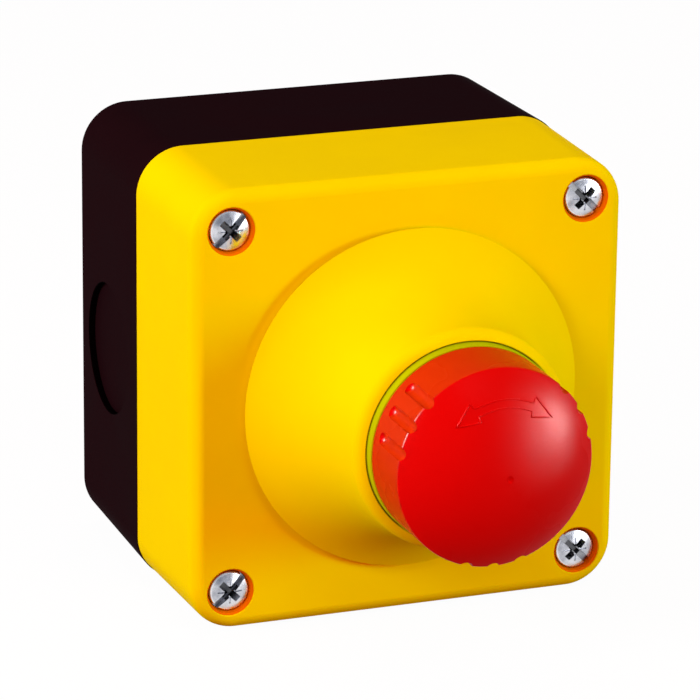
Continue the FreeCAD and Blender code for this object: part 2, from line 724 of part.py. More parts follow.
def build_lock_nut():
    """Notched ring nut that holds the actuator from behind the seat."""
    body = new_body("lock_nut")
    bore = mm.tube_radius + mm.fit_clearance
    under = seat_under - mm.nut_height
    turned(body, "nut_ring", [
        (bore, under), (mm.nut_radius, under), (mm.nut_radius, seat_under), (bore, seat_under)])
    notch = new_sketch(body, "nut_notch_outline", level=seat_under)
    draw_outline(notch, rectangle(
        mm.nut_radius - mm.nut_notch_depth, -mm.nut_notch_width / 2,
        mm.nut_radius + mm.nut_notch_depth, mm.nut_notch_width / 2))
    cut = pocket(body, notch, mm.nut_height, "nut_notch")
    repeat_round(body, [cut], NUT_NOTCHES, "nut_notches")


def build_latch_spring():
    """Hairpin wire whose legs snap over the stem's ridge when the button is pushed home."""
    body = new_body("latch_spring")
    path = new_sketch(body, "latch_path", level=latch_level)
    end = -mm.latch_tail
    y = mm.latch_offset
    tip = mm.latch_bend + y
    straight = [((end, -y), (mm.latch_bend, -y)), ((mm.latch_bend, y), (end, y))]
    bends = [((mm.latch_bend, -y), (tip, 0)), ((tip, 0), (mm.latch_bend, y))]
    run = [("line", straight[0]), ("arc", bends[0]), ("arc", bends[1]), ("line", straight[1])]
    edges = []
    for kind, (start, stop) in run:
        a = FreeCAD.Vector(as_size(start[0]).value, as_size(start[1]).value, 0)
        b = FreeCAD.Vector(as_size(stop[0]).value, as_size(stop[1]).value, 0)
        shape = Part.LineSegment(a, b) if kind == "line" else arc_edge(a, b, y.value, 1)
        edge = path.addGeometry(shape)
        place(path, edge, 1, *start)
        edges.append(edge)
        if kind == "arc":
            bind(path, "Radius", edge, size=y)
    for before, after in zip(edges, edges[1:]):
        path.addConstraint(Sketcher.Constraint("Coincident", before, 2, after, 1))
    place(path, edges[-1], 2, end, y)
    section = new_sketch(body, "latch_section", "YZ_Plane", level=end)
    draw_outline(section, [(-y + a * mm.latch_wire, latch_level + b * mm.latch_wire)
                           for a, b in WIRE_CORNERS])
    wire = body.newObject("PartDesign::AdditivePipe", "latch_wire_sweep")
    wire.Profile = section
    wire.Spine = (path, [])
    doc.recompute()


def build_plunger_stem():
    """Sliding stem: lower rod, guide collar, latch ridge, twist spring seat and hub bore."""
    body = new_body("plunger_stem")
    seal_centre = collar_under + mm.collar_height / 2
    seal_floor = mm.collar_radius - mm.stem_seal_depth
    ring_groove = mm.stem_seal_height / 2
    groove_top = stem_ring_top + mm.fit_clearance
    groove_under = stem_ring_under - mm.fit_clearance
    snap_top = snap_under + mm.snap_height + mm.fit_clearance
    turned(body, "stem_turning", [
        (0, stem_end), (mm.stem_radius, stem_end),
        (mm.stem_radius, groove_under), (mm.stem_groove_radius, groove_under),
        (mm.stem_groove_radius, groove_top), (mm.stem_radius, groove_top),
        (mm.stem_radius, collar_under), (mm.collar_radius, collar_under),
        (mm.collar_radius, seal_centre - ring_groove), (seal_floor, seal_centre - ring_groove),
        (seal_floor, seal_centre + ring_groove), (mm.collar_radius, seal_centre + ring_groove),
        (mm.collar_radius, collar_top), (mm.post_radius, collar_top),
        (mm.post_radius, ridge_under), (mm.ridge_radius, ridge_top - mm.ridge_height / 3),
        (mm.ridge_radius, ridge_top), (mm.post_radius, ridge_top),
        (mm.post_radius, twist_seat_under), (mm.collar_radius, twist_seat_under),
        (mm.collar_radius, twist_seat_top), (mm.post_radius, twist_seat_top),
        (mm.post_radius, post_top), (hub_bore, post_top),
        (hub_bore, snap_top), (snap_outer + mm.fit_clearance, snap_top),
        (snap_outer + mm.fit_clearance, snap_under - mm.fit_clearance),
        (hub_bore, snap_under - mm.fit_clearance),
        (hub_bore, collar_top), (0, collar_top)])
    cross_hole(body, mm.pin_radius + mm.fit_clearance)


def cross_hole(body, radius):
    """Hole across the stem and the push foot for their pin."""
    hole = new_sketch(body, f"{body.Label}_pin_outline", "YZ_Plane")
    draw_circle(hole, 0, pin_level, radius)
    pocket(body, hole, 4 * mm.foot_boss_radius, f"{body.Label}_pin_hole", middle=True)


def build_push_foot():
    """Bar on the stem's end that pushes both contact plungers."""
    body = new_body("push_foot")
    bar = new_sketch(body, "foot_outline", level=foot_under)
    draw_outline(bar, rounded_rectangle(
        mm.foot_half_length, mm.foot_half_width, mm.foot_half_width / 2))
    pad(body, bar, mm.foot_thickness, "foot_bar")
    boss = new_sketch(body, "foot_boss_outline", level=foot_under)
    draw_circle(boss, 0, 0, mm.foot_boss_radius)
    pad(body, boss, foot_boss_top - foot_under, "foot_boss")
    socket = new_sketch(body, "foot_socket_outline", level=foot_boss_top)
    draw_circle(socket, 0, 0, mm.stem_radius + mm.fit_clearance)
    pocket(body, socket, foot_boss_top - stem_end, "foot_socket")
    cross_hole(body, mm.pin_radius + mm.fit_clearance)


def build_foot_pin():
    """Pin through the push foot and the stem."""
    body = new_body("foot_pin")
    section = new_sketch(body, "pin_outline", "YZ_Plane")
    draw_circle(section, 0, pin_level, mm.pin_radius)
    pad(body, section, 2 * mm.foot_boss_radius, "pin", middle=True)


def snap_ring(name, inner, outer, under):
    """Flat ring with an opening."""
    body = new_body(name)
    top = under + mm.snap_height
    turned(body, f"{name}_turning", [
        (inner, under), (outer, under), (outer, top), (inner, top)],
        angle=as_size(FULL_TURN) - mm.snap_gap_angle)


def build_stem_seal():
    """Square rubber ring in the stem's collar."""
    body = new_body("stem_seal")
    inner = mm.collar_radius - mm.stem_seal_depth + mm.fit_clearance
    outer = mm.tube_bore - mm.fit_clearance
    middle = collar_under + mm.collar_height / 2
    under = middle - mm.stem_seal_height / 2
    top = middle + mm.stem_seal_height / 2
    turned(body, "stem_seal_ring", [(inner, under), (outer, under), (outer, top), (inner, top)])


def coil(name, radius, wire, under, top, turns, x=None):
    """Compression coil between two levels, its wire drawn with flat sides to keep it light."""
    spring = doc.addObject("Part::Feature", name)
    spring.Label = name
    sections = []
    rise = top.value - under.value - 2 * wire.value
    for step in range(turns * COIL_SECTIONS + 1):
        angle = 2 * math.pi * step / COIL_SECTIONS
        outward = FreeCAD.Vector(math.cos(angle), math.sin(angle), 0)
        level = under.value + wire.value + rise * step / (turns * COIL_SECTIONS)
        middle = outward * radius.value + FreeCAD.Vector(0, 0, level)
        corners = []
        for across, up in WIRE_CORNERS:
            corner = outward * across + FreeCAD.Vector(0, 0, up)
            corners.append(middle + corner * wire.value)
        sections.append(Part.makePolygon(corners + corners[:1]))
    spring.Shape = Part.makeLoft(sections, True, True)
    spring.Placement = FreeCAD.Placement(FreeCAD.Vector(), FACING)
    if x is not None:
        spring.Placement.Base = FreeCAD.Vector(x.value, 0, 0)
    sub_parts.append(spring)


def build_button_cap():
    """Red button: low dome on a straight skirt, hub for the stem, finger grooves in groups."""
    body = new_body("button_cap")
    rib_inner = mm.rib_outer - mm.rib_wall
    groove_under = snap_under - mm.slide_clearance
    groove_top = snap_under + mm.snap_height + mm.slide_clearance
    bend_x = mm.button_radius - mm.dome_edge_round
    bend_sweep = dome_sweep - mm.dome_edge_round
    bend_rise = square_root(bend_sweep * bend_sweep - bend_x * bend_x)
    bend_end = dome_sweep / bend_sweep
    turned(body, "button_shell", [
        (skirt_bore, skirt_under), (mm.button_radius, skirt_under),
        (mm.button_radius, dome_centre + bend_rise, mm.dome_edge_round, 1),
        (bend_x * bend_end, dome_centre + bend_rise * bend_end, dome_sweep, 1), (0, dome_top),
        (0, hub_end), (mm.hub_radius, hub_end),
        (mm.hub_radius, groove_under), (mm.hub_groove_radius, groove_under),
        (mm.hub_groove_radius, groove_top), (mm.hub_radius, groove_top),
        (mm.hub_radius, dome_inside(mm.hub_radius)),
        (rib_inner, dome_inside(rib_inner)), (rib_inner, cam_seat),
        (mm.rib_outer, cam_seat), (mm.rib_outer, dome_inside(mm.rib_outer)),
        (skirt_bore, dome_inside(skirt_bore))])
    centre = mm.button_radius + mm.groove_offset
    start = skirt_under + mm.groove_start
    flutes = []
    for number in range(FINGER_GROOVES):
        turn = mm.groove_first + number * mm.groove_pitch
        flute = new_sketch(body, f"finger_groove_{number + 1}_profile", "XZ_Plane", turn=turn)
        draw_axis(flute, centre)
        draw_outline(flute, [
            (centre, start - mm.groove_radius),
            (centre + mm.groove_radius, start),
            (centre + mm.groove_radius, dome_top), (centre, dome_top)])
        flutes.append(revolve(body, flute, f"finger_groove_{number + 1}", axis="Axis0", cut=True))
    repeat_round(body, flutes, GROOVE_GROUPS, "finger_grooves")


def build_position_ring():
    """Yellow-green ring that shows below the button until it is pushed in."""
    body = new_body("position_ring")
    ring_inner = mm.ring_radius - mm.ring_wall
    web = skirt_under - mm.ring_web
    spigot_top = skirt_under + mm.spigot_height
    spigot_inner = spigot_outer - mm.spigot_wall
    turned(body, "ring_turning", [
        (ring_inner, ring_under), (mm.ring_radius, ring_under), (mm.ring_radius, skirt_under),
        (spigot_outer, skirt_under), (spigot_outer, spigot_top), (spigot_inner, spigot_top),
        (spigot_inner, web), (ring_inner, web)])


def build_release_cam():
    """Cam under the dome: its lugs spread the latch legs when the pushed button is turned."""
    body = new_body("release_cam")
    bore = mm.hub_radius + mm.fit_clearance
    tube_inner = mm.cam_tube_outer - mm.cam_tube_wall
    tube_low = cam_flange_under - mm.cam_tube_height
    turned(body, "cam_turning", [
        (bore, cam_flange_under), (tube_inner, cam_flange_under), (tube_inner, tube_low),
        (mm.cam_tube_outer, tube_low), (mm.cam_tube_outer, cam_flange_under),
        (mm.rib_outer, cam_flange_under), (mm.rib_outer, cam_seat), (bore, cam_seat)])
    lug = new_sketch(body, "lug_outline", level=lug_end)
    across = cosine(mm.lug_half_angle)
    up = sine(mm.lug_half_angle)
    draw_outline(lug, [
        (tube_inner * across, -1 * tube_inner * up),
        (mm.cam_tube_outer * across, -1 * mm.cam_tube_outer * up, mm.cam_tube_outer, 1),
        (mm.cam_tube_outer * across, mm.cam_tube_outer * up),
        (tube_inner * across, tube_inner * up, tube_inner, -1)])
    first = pad(body, lug, cam_flange_under - lug_end, "release_lug")
    repeat_round(body, [first], RELEASE_LUGS, "release_lugs")


def beside(body, x):
    """Moves a contact block's sub-part to its place across the box."""
    body.setExpression(".Placement.Base.x", x.text)


def build_contact_block(prefix, x, opens):
    """One contact block on the rails; opens is True where pushing the button opens the contact."""
    block_half = mm.block_width / 2
    lid_face = block_half - mm.lid_thickness
    inner_half = mm.block_half_height - mm.block_wall

    housing = new_body(f"{prefix}_housing")
    beside(housing, x)
    outside = new_sketch(housing, "housing_outline", "YZ_Plane", level=-block_half)
    draw_outline(outside, rectangle(
        -mm.block_half_height, block_under, mm.block_half_height, block_top))
    pad(housing, outside, mm.block_width - mm.lid_thickness, "housing_block")
    inside = new_sketch(housing, "housing_cavity_outline", "YZ_Plane", level=lid_face)
    draw_outline(inside, rectangle(
        -inner_half, block_floor, inner_half, block_top - mm.block_wall))
    pocket(housing, inside, mm.block_width - mm.lid_thickness - mm.block_wall, "housing_cavity")
    nose = new_sketch(housing, "housing_nose_outline", level=block_floor)
    draw_circle(nose, 0, 0, mm.nose_radius)
    pad(housing, nose, mm.slider_nose, "housing_nose")
    mouth = new_sketch(housing, "slider_mouth_outline", level=block_top)
    slot_x = mm.slider_half_width + mm.slide_clearance
    slot_y = mm.slider_half_height + mm.slide_clearance
    draw_outline(mouth, rectangle(-slot_x, -slot_y, slot_x, slot_y))
    for side in SIDES:
        draw_circle(mouth, 0, side * terminal_y, mm.terminal_head_radius + mm.slide_clearance)
    pocket(housing, mouth, mm.block_wall, "slider_mouth")
    ends = new_sketch(housing, "terminal_end_outline", "XZ_Plane")
    half_strip = mm.strip_width / 2 + mm.fit_clearance
    draw_outline(ends, rectangle(
        -half_strip, strip_under - mm.fit_clearance, half_strip, strip_top + mm.fit_clearance))
    wire_top = strip_under - mm.clamp_wall
    draw_outline(ends, rectangle(
        -half_strip, wire_top - mm.strip_width, half_strip, wire_top - mm.slide_clearance))
    pocket(housing, ends, 4 * mm.block_half_height, "terminal_ends", middle=True)

    lid = new_body(f"{prefix}_lid")
    beside(lid, x)
    plate = new_sketch(lid, "lid_outline", "YZ_Plane", level=lid_face)
    draw_outline(plate, rectangle(
        -mm.block_half_height, block_under, mm.block_half_height, block_top))
    pad(lid, plate, mm.lid_thickness, "lid_plate")

    if opens:
        bridge_top = strip_under - mm.tip_height - mm.contact_gap - mm.tip_height
        bridge_under = bridge_top - mm.bridge_thickness
        fixed_face = strip_under
    else:
        bridge_under = low_strip_top + 2 * mm.tip_height + mm.press_travel + mm.stroke_gap
        bridge_top = bridge_under + mm.bridge_thickness
        fixed_face = low_strip_top

    plunger = new_body(f"{prefix}_plunger")
    beside(plunger, x)
    bar = new_sketch(plunger, "plunger_outline", level=slider_under)
    draw_outline(bar, rectangle(
        -mm.slider_half_width, -mm.slider_half_height, mm.slider_half_width, mm.slider_half_height))
    pad(plunger, bar, slider_top - slider_under, "plunger_bar")
    peg = new_sketch(plunger, "plunger_nose_outline", level=slider_under)
    draw_circle(peg, 0, 0, mm.nose_radius)
    pad(plunger, peg, mm.slider_nose, "plunger_nose", back=True)
    window = new_sketch(plunger, "bridge_window_outline", "XZ_Plane")
    half_bridge = mm.bridge_width / 2
    draw_outline(window, rectangle(-half_bridge, bridge_under, half_bridge, bridge_top))
    pocket(plunger, window, 4 * mm.slider_half_height, "bridge_window", middle=True)

    bridge = new_body(f"{prefix}_bridge")
    beside(bridge, x)
    strip = new_sketch(bridge, "bridge_outline", level=bridge_under)
    draw_outline(strip, rectangle(-half_bridge, -bridge_reach, half_bridge, bridge_reach))
    pad(bridge, strip, mm.bridge_thickness, "bridge_strip")
    tips = new_sketch(bridge, "bridge_tip_outline", level=bridge_top if opens else bridge_under)
    for side in SIDES:
        draw_circle(tips, 0, side * tip_y, mm.tip_radius)
    pad(bridge, tips, mm.tip_height, "bridge_tips", back=not opens)

    fixed = new_body(f"{prefix}_fixed_contacts", several=True)
    beside(fixed, x)
    shape = new_sketch(fixed, "fixed_contact_outline", "YZ_Plane")
    near = tip_y - mm.tip_margin
    bend = terminal_y - mm.clamp_length / 2 - mm.slide_clearance
    for side in SIDES:
        if opens:
            draw_outline(shape, rectangle(
                side * near, strip_under, side * strip_reach, strip_top))
        else:
            drop = bend - mm.strip_thickness
            draw_outline(shape, [
                (side * near, low_strip_under), (side * bend, low_strip_under),
                (side * bend, strip_under), (side * strip_reach, strip_under),
                (side * strip_reach, strip_top), (side * drop, strip_top),
                (side * drop, low_strip_top), (side * near, low_strip_top)])
    pad(fixed, shape, mm.strip_width, "fixed_contact_strips", middle=True)
    studs = new_sketch(fixed, "fixed_tip_outline", level=fixed_face)
    bores = new_sketch(fixed, "strip_bore_outline", level=strip_top)
    for side in SIDES:
        draw_circle(studs, 0, side * tip_y, mm.tip_radius)
        draw_circle(bores, 0, side * terminal_y, mm.terminal_screw_radius + mm.fit_clearance)
    pad(fixed, studs, mm.tip_height, "fixed_tips", back=opens)
    pocket(fixed, bores, mm.strip_thickness, "strip_bores")

    clamps = new_body(f"{prefix}_terminal_clamps", several=True)
    beside(clamps, x)
    clamp_under = strip_under - mm.clamp_height
    half_clamp = mm.clamp_width / 2
    wire_half = half_clamp - mm.clamp_wall
    for side, word in zip(SIDES, ("lower", "upper")):
        cage = new_sketch(clamps, f"{word}_clamp_outline", "XZ_Plane", level=-side * terminal_y)
        draw_outline(cage, rectangle(-half_clamp, clamp_under, half_clamp, strip_under))
        draw_outline(cage, rectangle(
            -wire_half, clamp_under + mm.clamp_wall, wire_half, strip_under - mm.clamp_wall))
        pad(clamps, cage, mm.clamp_length, f"{word}_clamp", middle=True)
    threads = new_sketch(clamps, "clamp_bore_outline", level=strip_under)
    for side in SIDES:
        draw_circle(threads, 0, side * terminal_y, mm.terminal_screw_radius + mm.fit_clearance)
    pocket(clamps, threads, mm.clamp_wall, "clamp_bores")

    screws = new_body(f"{prefix}_terminal_screws", several=True)
    beside(screws, x)
    heads = new_sketch(screws, "terminal_head_outline", level=strip_top)
    shanks = new_sketch(screws, "terminal_shank_outline", level=strip_top)
    for side in SIDES:
        draw_circle(heads, 0, side * terminal_y, mm.terminal_head_radius)
        draw_circle(shanks, 0, side * terminal_y, mm.terminal_screw_radius)
    pad(screws, heads, mm.terminal_head_height, "terminal_heads")
    reach = mm.strip_thickness + mm.terminal_screw_reach
    pad(screws, shanks, reach, "terminal_shanks", back=True)

    coil(f"{prefix}_spring", mm.contact_spring_radius, mm.contact_spring_wire,
         block_floor, slider_under, CONTACT_COILS, x)


def check_document():
    """Stops the build where an object failed or a sub-part has no sound shape."""
    for item in doc.Objects:
        if "Invalid" in item.State or "Error" in item.State:
            raise RuntimeError(f"{item.Label} failed: {item.State}")
    for part in sub_parts:
        if part.Shape.isNull() or not part.Shape.isValid():
            raise RuntimeError(f"{part.Label} has no valid shape")


build_enclosure_base()
build_enclosure_seal()
build_cover()
build_cover_screws()
build_actuator_body()
build_actuator_seal()
build_lock_nut()
build_latch_spring()
build_plunger_stem()
build_push_foot()
build_foot_pin()
snap_ring("stem_ring", mm.stem_groove_radius + mm.fit_clearance, mm.stem_ring_radius, stem_ring_under)
build_stem_seal()
coil("return_spring", mm.spring_radius, mm.spring_wire, lip_top, collar_under, RETURN_COILS)
coil("twist_spring", mm.twist_radius, mm.twist_wire, twist_seat_top,
     twist_seat_top + mm.twist_height, TWIST_COILS)
build_button_cap()
snap_ring("hub_ring", mm.hub_groove_radius + mm.slide_clearance, snap_outer, snap_under)
build_position_ring()
build_release_cam()
build_contact_block("nc", -1 * mm.block_pitch / 2, opens=True)
build_contact_block("no", mm.block_pitch / 2, opens=False)

doc.recompute()
check_document()
os.makedirs("parts", exist_ok=True)
for part in sub_parts:
    part.Shape.exportStep(f"parts/{part.Label}.step")
print(f"{len(sub_parts)} sub-parts written")
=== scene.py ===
"""Emergency stop station: fine meshes, finishes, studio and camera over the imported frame."""

import json
import logging
import math
from dataclasses import dataclass, field
from enum import Enum
from typing import Callable, Union

import bmesh
import bpy
from mathutils import Matrix, Vector


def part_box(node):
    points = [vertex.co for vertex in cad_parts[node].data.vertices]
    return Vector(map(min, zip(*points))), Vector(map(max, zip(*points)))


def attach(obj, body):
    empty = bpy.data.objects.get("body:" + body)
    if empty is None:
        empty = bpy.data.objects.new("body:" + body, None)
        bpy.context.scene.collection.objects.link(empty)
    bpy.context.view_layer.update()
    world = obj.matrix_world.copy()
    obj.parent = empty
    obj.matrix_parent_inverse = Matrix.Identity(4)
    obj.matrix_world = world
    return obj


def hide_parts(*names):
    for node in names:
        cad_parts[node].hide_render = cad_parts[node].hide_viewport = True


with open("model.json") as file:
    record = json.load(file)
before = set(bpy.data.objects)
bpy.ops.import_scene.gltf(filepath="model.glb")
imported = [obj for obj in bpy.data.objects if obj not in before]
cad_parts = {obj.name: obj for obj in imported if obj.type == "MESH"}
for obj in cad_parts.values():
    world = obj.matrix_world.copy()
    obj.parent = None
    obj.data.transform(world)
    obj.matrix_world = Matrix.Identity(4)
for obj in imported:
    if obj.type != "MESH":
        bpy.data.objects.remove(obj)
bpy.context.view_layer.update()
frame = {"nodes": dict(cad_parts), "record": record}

MM = 0.001
BUTTON_PIECES = ("button_dome", "turn_arrow")
SCREW_PIECES = ("cover_screw_1", "cover_screw_2", "cover_screw_3", "cover_screw_4")
BUTTON_FRONT = (0.005, -0.105, -0.005)
CARD_DISTANCE = 0.1
CARD_TONE = (0.3, 1.0, 1.0)

# Millimetres: points closer than a sliver are one, a point near a level lies on it,
# a face stands proud of one that it must not touch, and a cutter overruns what it cuts.
SLIVER = 0.001
NEAR = 0.01
PROUD = 0.02
OVERRUN = 1.0
# Least share of a normal that makes a face look straight along an axis.
STRAIGHT = 0.9

Point = tuple[float, float]
Chain = list[Point]
Colour = tuple[float, float, float]
Object = bpy.types.Object
Socket = bpy.types.NodeSocket
Element = Union[bmesh.types.BMFace, bmesh.types.BMEdge]
FaceTest = Callable[[Vector, Vector], bool]

log = logging.getLogger("station")


class Body(str, Enum):
    """Bodies of the frame that pieces ride on."""

    HOUSING = "housing"
    BUTTON = "button"


class Reach(str, Enum):
    """What a studio light acts on."""

    MATT = "matt shading"
    GLOSS = "reflections"


class Operation(str, Enum):
    """Ways in which one mesh works on another."""

    CUT = "DIFFERENCE"
    WELD = "UNION"


class Kind(str, Enum):
    """Elements of a mesh that are picked in edit mode."""

    FACE = "FACE"
    EDGE = "EDGE"


def depth_of(node: str, outermost: bool = True) -> float:
    """Distance from the wall to one end of a CAD node.

    Args:
        node: Name of the node.
        outermost: True for the end towards the viewer, False for the end towards the wall.

    Returns:
        The distance in millimetres.
    """
    low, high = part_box(node)
    return -(low.y if outermost else high.y) / MM


def half_width_of(node: str) -> float:
    """Half of a CAD node's width, in millimetres."""
    low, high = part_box(node)
    return (high.x - low.x) / 2 / MM


def corners(x: float, z: float) -> Chain:
    """The four places at plus and minus x and z."""
    return [(i * x, k * z) for i in (-1, 1) for k in (-1, 1)]


def clear_selection() -> None:
    """Leaves edit mode and deselects everything."""
    if bpy.context.object and bpy.context.object.mode != "OBJECT":
        bpy.ops.object.mode_set(mode="OBJECT")
    bpy.ops.object.select_all(action="DESELECT")


def make_active(piece: Object) -> None:
    """Selects one piece alone and makes it the active one.

    Args:
        piece: The piece.
    """
    clear_selection()
    piece.select_set(True)
    bpy.context.view_layer.objects.active = piece


def edit(piece: Object) -> None:
    """Opens one piece alone in edit mode."""
    make_active(piece)
    bpy.ops.object.mode_set(mode="EDIT")


def settle(piece: Object) -> None:
    """Moves a piece's place, turn and scale into its mesh."""
    make_active(piece)
    bpy.ops.object.transform_apply(location=True, rotation=True, scale=True)


def pick(piece: Object, kind: Kind, wanted: Callable[[Element], bool]) -> None:
    """Selects faces or edges in edit mode.

    Args:
        piece: The piece being edited.
        kind: What is picked.
        wanted: Test of a face or edge.
    """
    bpy.ops.mesh.select_mode(type=kind.value)
    bpy.ops.mesh.select_all(action="DESELECT")
    mesh = bmesh.from_edit_mesh(piece.data)
    for element in mesh.faces if kind is Kind.FACE else mesh.edges:
        if wanted(element):
            element.select_set(True)
    bmesh.update_edit_mesh(piece.data)


def pick_faces(piece: Object, wanted: FaceTest) -> None:
    """Selects faces by their middle, in millimetres, and their normal."""
    pick(piece, Kind.FACE, lambda face: wanted(face.calc_center_median(), face.normal))


def pick_edges(piece: Object, wanted: Callable[[Vector, Vector], bool]) -> None:
    """Selects edges by their two ends, in millimetres."""
    pick(piece, Kind.EDGE, lambda edge: wanted(edge.verts[0].co, edge.verts[1].co))


def pick_opening(piece: Object, depth: float) -> None:
    """Selects the open edges that lie at one distance from the wall, in millimetres."""
    pick(piece, Kind.EDGE,
         lambda edge: edge.is_boundary and all(abs(vertex.co.y + depth) < NEAR for vertex in edge.verts))


def fill_openings(piece: Object, *depths: float) -> None:
    """Fills, in edit mode, the flat face between all open edges at each depth.

    Args:
        piece: The piece being edited.
        depths: Distances from the wall in millimetres.
    """
    for depth in depths:
        pick_opening(piece, depth)
        bpy.ops.mesh.fill(use_beauty=True)


def close_up() -> None:
    """Merges the doubles of the edited piece, points its faces outwards and leaves edit mode."""
    bpy.ops.mesh.select_all(action="SELECT")
    bpy.ops.mesh.remove_doubles(threshold=SLIVER)
    bpy.ops.mesh.normals_make_consistent(inside=False)
    bpy.ops.object.mode_set(mode="OBJECT")


def arc(centre: Point, radius: float, start: float, stop: float, count: int) -> Chain:
    """Points along an arc of a turning profile.

    Args:
        centre: Radius and depth of the arc's centre in millimetres.
        radius: Radius of the arc in millimetres.
        start: Angle of the first point in degrees, from the outward radius towards the viewer.
        stop: Angle of the last point in degrees.
        count: Number of steps.

    Returns:
        Radius and depth of each point in millimetres.
    """
    points = []
    for step in range(count + 1):
        angle = math.radians(start + (stop - start) * step / count)
        points.append((centre[0] + radius * math.cos(angle), centre[1] + radius * math.sin(angle)))
    return points


def thread(name: str, points: list[tuple[float, float, float]]) -> Object:
    """A line of edges through points.

    Args:
        name: Name of the line.
        points: The points in millimetres.

    Returns:
        The line, in edit mode and selected all over.
    """
    clear_selection()
    bpy.ops.mesh.primitive_plane_add(size=1.0, location=(0, 0, 0))
    piece = bpy.context.object
    piece.name = name
    bpy.ops.object.mode_set(mode="EDIT")
    bpy.ops.mesh.select_mode(type="VERT")
    bpy.ops.mesh.merge(type="CENTER")
    bpy.ops.transform.translate(value=points[0])
    for here, there in zip(points, points[1:]):
        move = tuple(b - a for a, b in zip(here, there))
        bpy.ops.mesh.extrude_vertices_move(TRANSFORM_OT_translate={"value": move})
    bpy.ops.mesh.select_all(action="SELECT")
    return piece


def lathe(name: str, chain: Chain, steps: int) -> Object:
    """A turned piece about the button's axis.

    Args:
        name: Name of the piece.
        chain: Radius and depth of each profile point in millimetres.
        steps: Steps of the turn.

    Returns:
        The piece, open where its profile is open.
    """
    piece = thread(name, [(radius, -depth, 0) for radius, depth in chain])
    bpy.ops.mesh.spin(steps=steps, angle=2 * math.pi, center=(0, 0, 0), axis=(0, 1, 0))
    close_up()
    return piece


def rod(name: str, radius: float, foot: float, top: float, steps: int) -> Object:
    """A plain round rod between two distances from the wall, in millimetres."""
    return lathe(name, [(0, foot), (radius, foot), (radius, top), (0, top)], steps)


def block(name: str, low: tuple[float, float, float], high: tuple[float, float, float]) -> Object:
    """A plain block between two corners, ready to be shaped.

    Args:
        name: Name of the block.
        low: Lowest corner in millimetres.
        high: Highest corner in millimetres.

    Returns:
        The block, with its place in its mesh.
    """
    clear_selection()
    middle = [(a + b) / 2 for a, b in zip(low, high)]
    bpy.ops.mesh.primitive_cube_add(size=1.0, location=middle)
    piece = bpy.context.object
    piece.name = name
    piece.scale = [b - a for a, b in zip(low, high)]
    settle(piece)
    return piece


@dataclass(frozen=True)
class BoxSkin:
    """Sides of a square box with leaning walls and rounded corners, open at both ends. Millimetres."""

    name: str
    near_wall: float
    near_viewer: float
    half_at_wall: float
    half_at_viewer: float
    corner: float
    wall_round: float = 0.0
    viewer_round: float = 0.0
    corner_steps: int = 16
    round_steps: int = 8
    flat_normal: float = 0.9999

    def build(self) -> Object:
        """Models the sides and the roundings.

        Returns:
            The sides as an open shell.
        """
        half = self.half_at_wall
        piece = block(self.name, (-half, -self.near_viewer, -half), (half, -self.near_wall, half))
        edit(piece)
        pick_faces(piece, lambda middle, normal: normal.y < -STRAIGHT)
        lean = self.half_at_viewer / half
        bpy.ops.transform.resize(value=(lean, 1, lean), center_override=(0, 0, 0))
        pick_edges(piece, lambda a, b: abs(a.y - b.y) > self.corner / 2)
        bpy.ops.mesh.bevel(offset=self.corner, segments=self.corner_steps, affect="EDGES")
        for depth, radius in ((self.near_wall, self.wall_round), (self.near_viewer, self.viewer_round)):
            if radius:
                pick_edges(piece, lambda a, b: abs(a.y + depth) + abs(b.y + depth) < NEAR)
                bpy.ops.mesh.bevel(offset=radius, segments=self.round_steps, affect="EDGES")
        pick_faces(piece, lambda middle, normal: abs(normal.y) > self.flat_normal)
        bpy.ops.mesh.delete(type="FACE")
        bpy.ops.object.mode_set(mode="OBJECT")
        return piece


def twin_of(piece: Object, name: str) -> Object:
    """A copy of a piece with its own mesh.

    Args:
        piece: The piece to copy.
        name: Name of the copy.

    Returns:
        The copy.
    """
    twin = piece.copy()
    twin.data = piece.data.copy()
    twin.name = name
    bpy.context.collection.objects.link(twin)
    return twin


def copy_to(piece: Object, name: str, x: float, z: float, turn: float = 0.0) -> Object:
    """A copy of a piece, turned about its axis and moved across the front.

    Args:
        piece: The piece to copy.
        name: Name of the copy.
        x: Move to the right in millimetres.
        z: Move upwards in millimetres.
        turn: Turn in degrees, counter-clockwise as the viewer sees it.

    Returns:
        The copy, with its place in its mesh.
    """
    twin = twin_of(piece, name)
    twin.rotation_euler = (0, -math.radians(turn), 0)
    twin.location = (x, 0, z)
    settle(twin)
    return twin


def discard(piece: Object) -> None:
    """Removes a piece that was only needed while modelling."""
    bpy.data.objects.remove(piece, do_unlink=True)


def join(pieces: list[Object], name: str) -> Object:
    """Joins pieces into one mesh.

    Args:
        pieces: The pieces, the first of which stays.
        name: Name of the result.

    Returns:
        The joined piece.
    """
    clear_selection()
    for piece in pieces:
        piece.select_set(True)
    bpy.context.view_layer.objects.active = pieces[0]
    bpy.ops.object.join()
    pieces[0].name = name
    return pieces[0]


def repeat(piece: Object, places: Chain) -> Object:
    """Sets joined copies of a piece in several places and removes the piece itself.

    Args:
        piece: The piece to copy.
        places: Move to the right and upwards of each copy in millimetres.

    Returns:
        The copies in one mesh.
    """
    name = piece.name
    copies = [copy_to(piece, name, x, z) for x, z in places]
    discard(piece)
    return join(copies, name)


def work(piece: Object, tool: Object, operation: Operation) -> None:
    """Cuts a piece with a tool or welds the tool to it, and removes the tool.

    Args:
        piece: The piece that is changed.
        tool: The mesh that works on it.
        operation: What the tool does.
    """
    make_active(piece)
    modifier = piece.modifiers.new(tool.name, "BOOLEAN")
    modifier.object = tool
    modifier.operation = operation.value
    modifier.solver = "EXACT"
    bpy.ops.object.modifier_apply(modifier=modifier.name)
    discard(tool)


